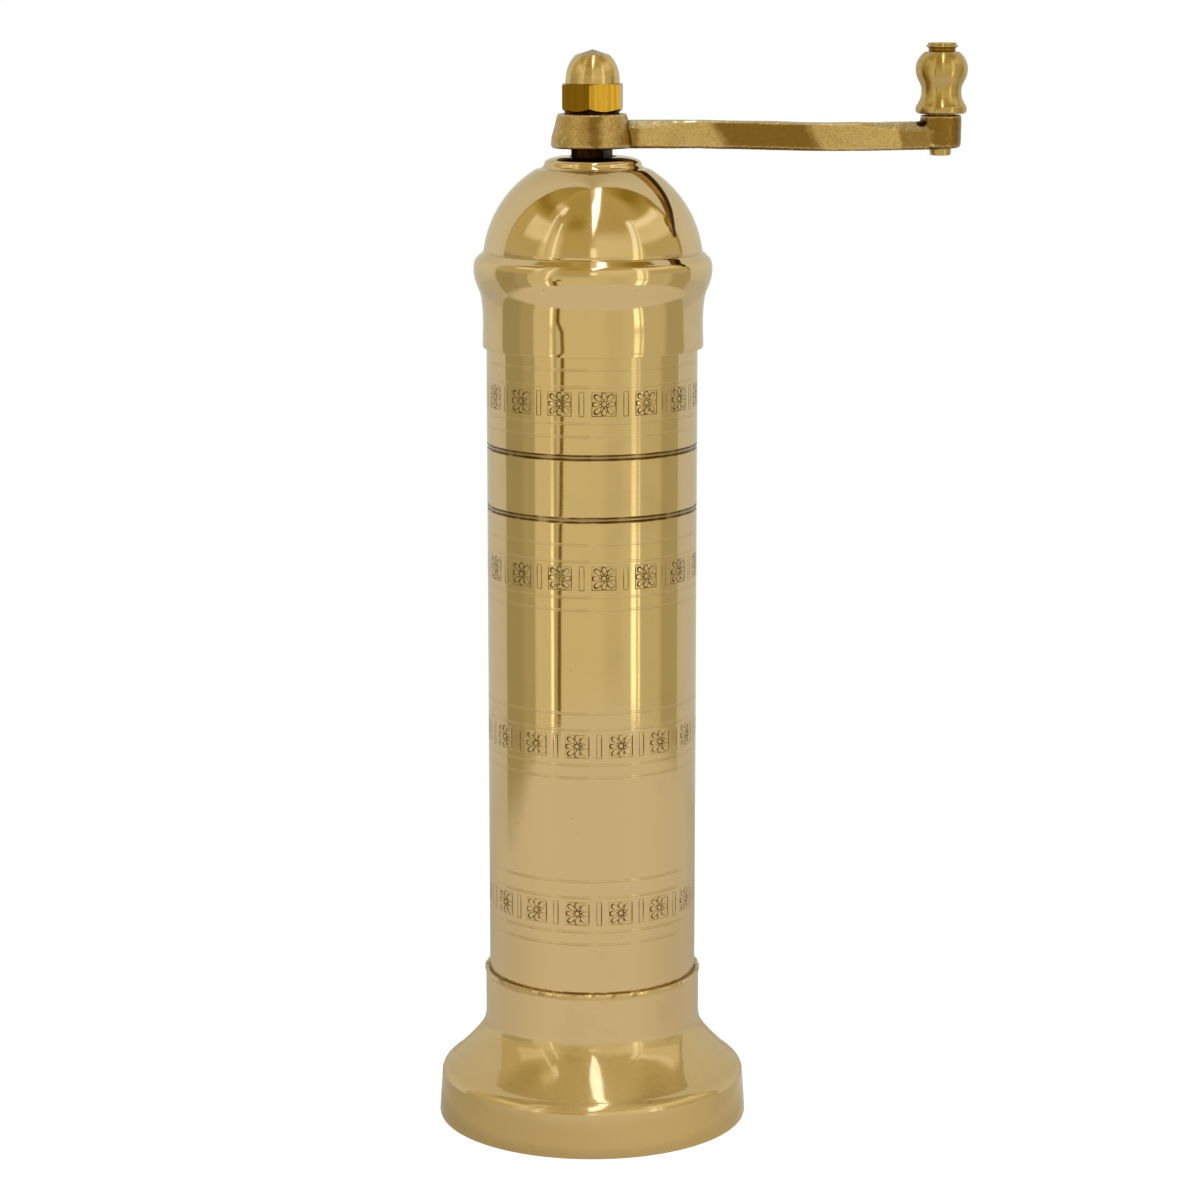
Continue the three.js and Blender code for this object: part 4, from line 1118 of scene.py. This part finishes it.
def machined(name, colour, dark, roughness, streak_scale, streak, brushed=0.0, brown=None):
    """Brass straight from the tool: streaks along the cut and little polish."""
    finish = Metal(name)
    stretched = finish.node("Mapping", Vector=finish.place, Scale=streak_scale)
    lines = finish.noise(1400, 3, 0.6, stretched)
    broad = finish.noise(300, 2, place=stretched)
    speck = finish.noise(1700, 2)
    shade = finish.blend(finish.smooth(lines, 0.35, 0.7) * streak, colour, dark)
    shade = finish.blend(finish.smooth(speck, 0.68, 0.76) * 0.6, shade, dark)
    # where a brown mask is given, it paints shade on that part of the piece
    if brown:
        share = brown(finish, finish.node("SeparateXYZ", Vector=finish.place))
        shade = finish.blend(share, shade, (0.20, 0.095, 0.002))
    rough = roughness + finish.smooth(broad, 0.3, 0.7) * 0.1
    return finish.surface(shade, rough, finish.bump(lines, 0.3, 0.012 * mm),
                          Anisotropic=brushed, Anisotropic_Rotation=0.25)


def left_flat_shade(finish, spot):
    """Painted shade: the flat that faces front and left is darkened to brown."""
    corner_x = nut_x + corner_r * mm * math.cos(nut_turn)
    to_left = finish.smooth(spot["X"], corner_x + 0.05 * mm, corner_x - 0.05 * mm)
    return to_left * finish.smooth(spot["Y"], -2.4 * mm, -3 * mm) * 0.8


nut = finished("domed_nut", nut_faces, "crank", ["acorn_nut"], sharp_deg=24)
nut.data.materials.append(machined(
    "milled_brass", (0.52, 0.29, 0.03), (0.28, 0.14, 0.01), 0.2, (1, 1, 0.03), 0.7, brown=left_flat_shade))
nut.data.materials.append(machined(
    "turned_dome", (0.56, 0.39, 0.15), (0.38, 0.24, 0.07), 0.16, (0.15, 0.15, 1), 0.25, 0.9))
for face in nut.data.polygons:
    face.material_index = 1 if face.center.z > (hex_top + 0.01) * mm else 0

# Knob pin: turned brass, pushed through knob and boss from above and riveted over below.
pin_low, pin_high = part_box("knob_pin")
pin_x = (pin_low.x + pin_high.x) / 2
knob_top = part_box("knob")[1].z / mm
pin_r, head_neck_r, head_r, crown_r = 2.25, 2.8, 3.3, 3.0
head_z = knob_top + 0.35
pin_top, pin_foot = pin_high.z / mm, pin_low.z / mm
pin_outline = [
    (0, pin_foot, 0), (pin_r - 0.1, pin_foot, 0.35), (pin_r, pin_foot + 0.9, 0.1),
    (pin_r, head_z, 0.05), (head_neck_r, head_z, 0.1), (head_neck_r, head_z + 0.75, 0.1),
    (head_r, head_z + 0.9, 0.2), (head_r, head_z + 1.22, 0.2), (crown_r, head_z + 1.38, 0.05),
    (crown_r, pin_top, 0.15), (0, pin_top, 0),
]
pin = finished(
    "knob_rivet", turned(pin_outline, 96, x=pin_x), "crank", ["knob_pin"])
turned_brass = machined(
    "turned_brass", (0.46, 0.31, 0.10), (0.30, 0.18, 0.04), 0.17, (0.1, 0.1, 1), 0.25, 0.9)
pin.data.materials.append(turned_brass)
# the neck under the head gets a darker brass: painted shade under the head
pin.data.materials.append(machined(
    "pin_neck_brass", (0.24, 0.12, 0.01), (0.12, 0.05, 0.004), 0.3, (0.1, 0.1, 1), 0.6))
for face in pin.data.polygons:
    face.material_index = int(head_z - 0.1 < face.center.z / mm < head_z + 0.85)

# Knob: turned brass that spins on its pin, with a flange, a waist and a bulb.
knob_z = boss_z_high + 0.3
knob_h = knob_top + 0.3 - knob_z
flange_r, waist_r, bulb_r, neck_r = 5.35, 4.15, 5.42, 3.8


def knob_at(radius, share):
    """A corner of the knob's outline, at a share of its height."""
    return (radius, knob_z + knob_h * share)


knob_outline = [
    (*knob_at(flange_r - 0.55, 0), 0.3),
    *bow(6, knob_at(flange_r - 0.15, 0.022), knob_at(flange_r + 0.08, 0.06), knob_at(flange_r, 0.1),
         knob_at(flange_r - 0.15, 0.125)),
    *bow(12, knob_at(flange_r - 0.3, 0.14), knob_at(waist_r + 0.35, 0.21), knob_at(waist_r, 0.27),
         knob_at(waist_r, 0.36)),
    *bow(12, knob_at(waist_r + 0.01, 0.38), knob_at(waist_r, 0.5), knob_at(bulb_r, 0.55),
         knob_at(bulb_r, 0.72)),
    *bow(12, knob_at(bulb_r - 0.01, 0.735), knob_at(bulb_r - 0.05, 0.84),
         knob_at(neck_r + 0.8, 0.93), knob_at(neck_r, 0.985)),
    (*knob_at(neck_r - 0.25, 1), 0.05),
    (*knob_at(pin_r + 0.1, 1), 0.1),
    (*knob_at(pin_r + 0.1, 0), 0.1),
]
knob = finished("turned_knob", turned(knob_outline, 120, x=pin_x), "knob", ["knob"])
knob.data.materials.append(turned_brass)

# The works inside: ground steel burrs and their pin, bent steel straps with their screws, the
# spring, its washer and the ball, and the brass bush, boss and thumb screw.


def steel(name, colour, roughness, grain_scale=(1, 1, 1)):
    """Bright steel with a fine grain and cloudy, darker places."""
    finish = Metal(name)
    grain = finish.noise(900, 3, place=finish.node("Mapping", Vector=finish.place, Scale=grain_scale))
    clouded = finish.smooth(finish.noise(120, 3), 0.45, 0.75) * 0.7
    shade = finish.blend(clouded, colour, tuple(c * 0.7 for c in colour))
    return finish.surface(shade, roughness + grain * 0.15, finish.bump(grain, 0.3, 0.02 * mm))


spring_low, spring_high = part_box("spring")
spring_height = spring_high.z - spring_low.z
coil_r, wire_r, coil_turns = 4.7, 0.55, 5
coil_rise = spring_height / mm - 2 * wire_r
wire_steps, wire_sides = coil_turns * 40, 16
wire_rings = []
for k in range(wire_steps + 1):
    share = k / wire_steps
    turn = 2 * math.pi * coil_turns * share
    out = Vector((math.cos(turn), math.sin(turn), 0))
    centre = Vector((axis_x / mm, 0, spring_low.z / mm + wire_r + coil_rise * share)) + out * coil_r
    wire_rings.append([(centre + (out * math.cos(a) + Vector((0, 0, math.sin(a)))) * wire_r) * mm
                       for a in (2 * math.pi * i / wire_sides for i in range(wire_sides))])
spring = finished("coil_spring", loft(bmesh.new(), wire_rings), "body", ["spring"])
lift = next(j for j in frame["joints"] if j["name"] == "grind_lift")
1 - lift["range_m"][1] / spring_height
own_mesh(spring)

burr_steel = steel("burr_steel", (0.42, 0.44, 0.46), 0.3)
bright_steel = steel("bright_steel", (0.55, 0.56, 0.57), 0.22, (0.1, 1, 1))
spring.data.materials.append(bright_steel)
for material, names in (
    (burr_steel, ("outer_burr", "inner_burr")),
    (turned_brass, ("guide_bush", "threaded_boss", "adjusting_screw")),
    (bright_steel, ("burr_pin", "guide_bridge", "guide_screw_left", "guide_screw_right",
                    "carrier_bridge", "carrier_screw_left", "carrier_screw_right",
                    "spring_washer", "thrust_ball")),
):
    for name in names:
        frame["nodes"][name].data.materials.clear()
        frame["nodes"][name].data.materials.append(material)
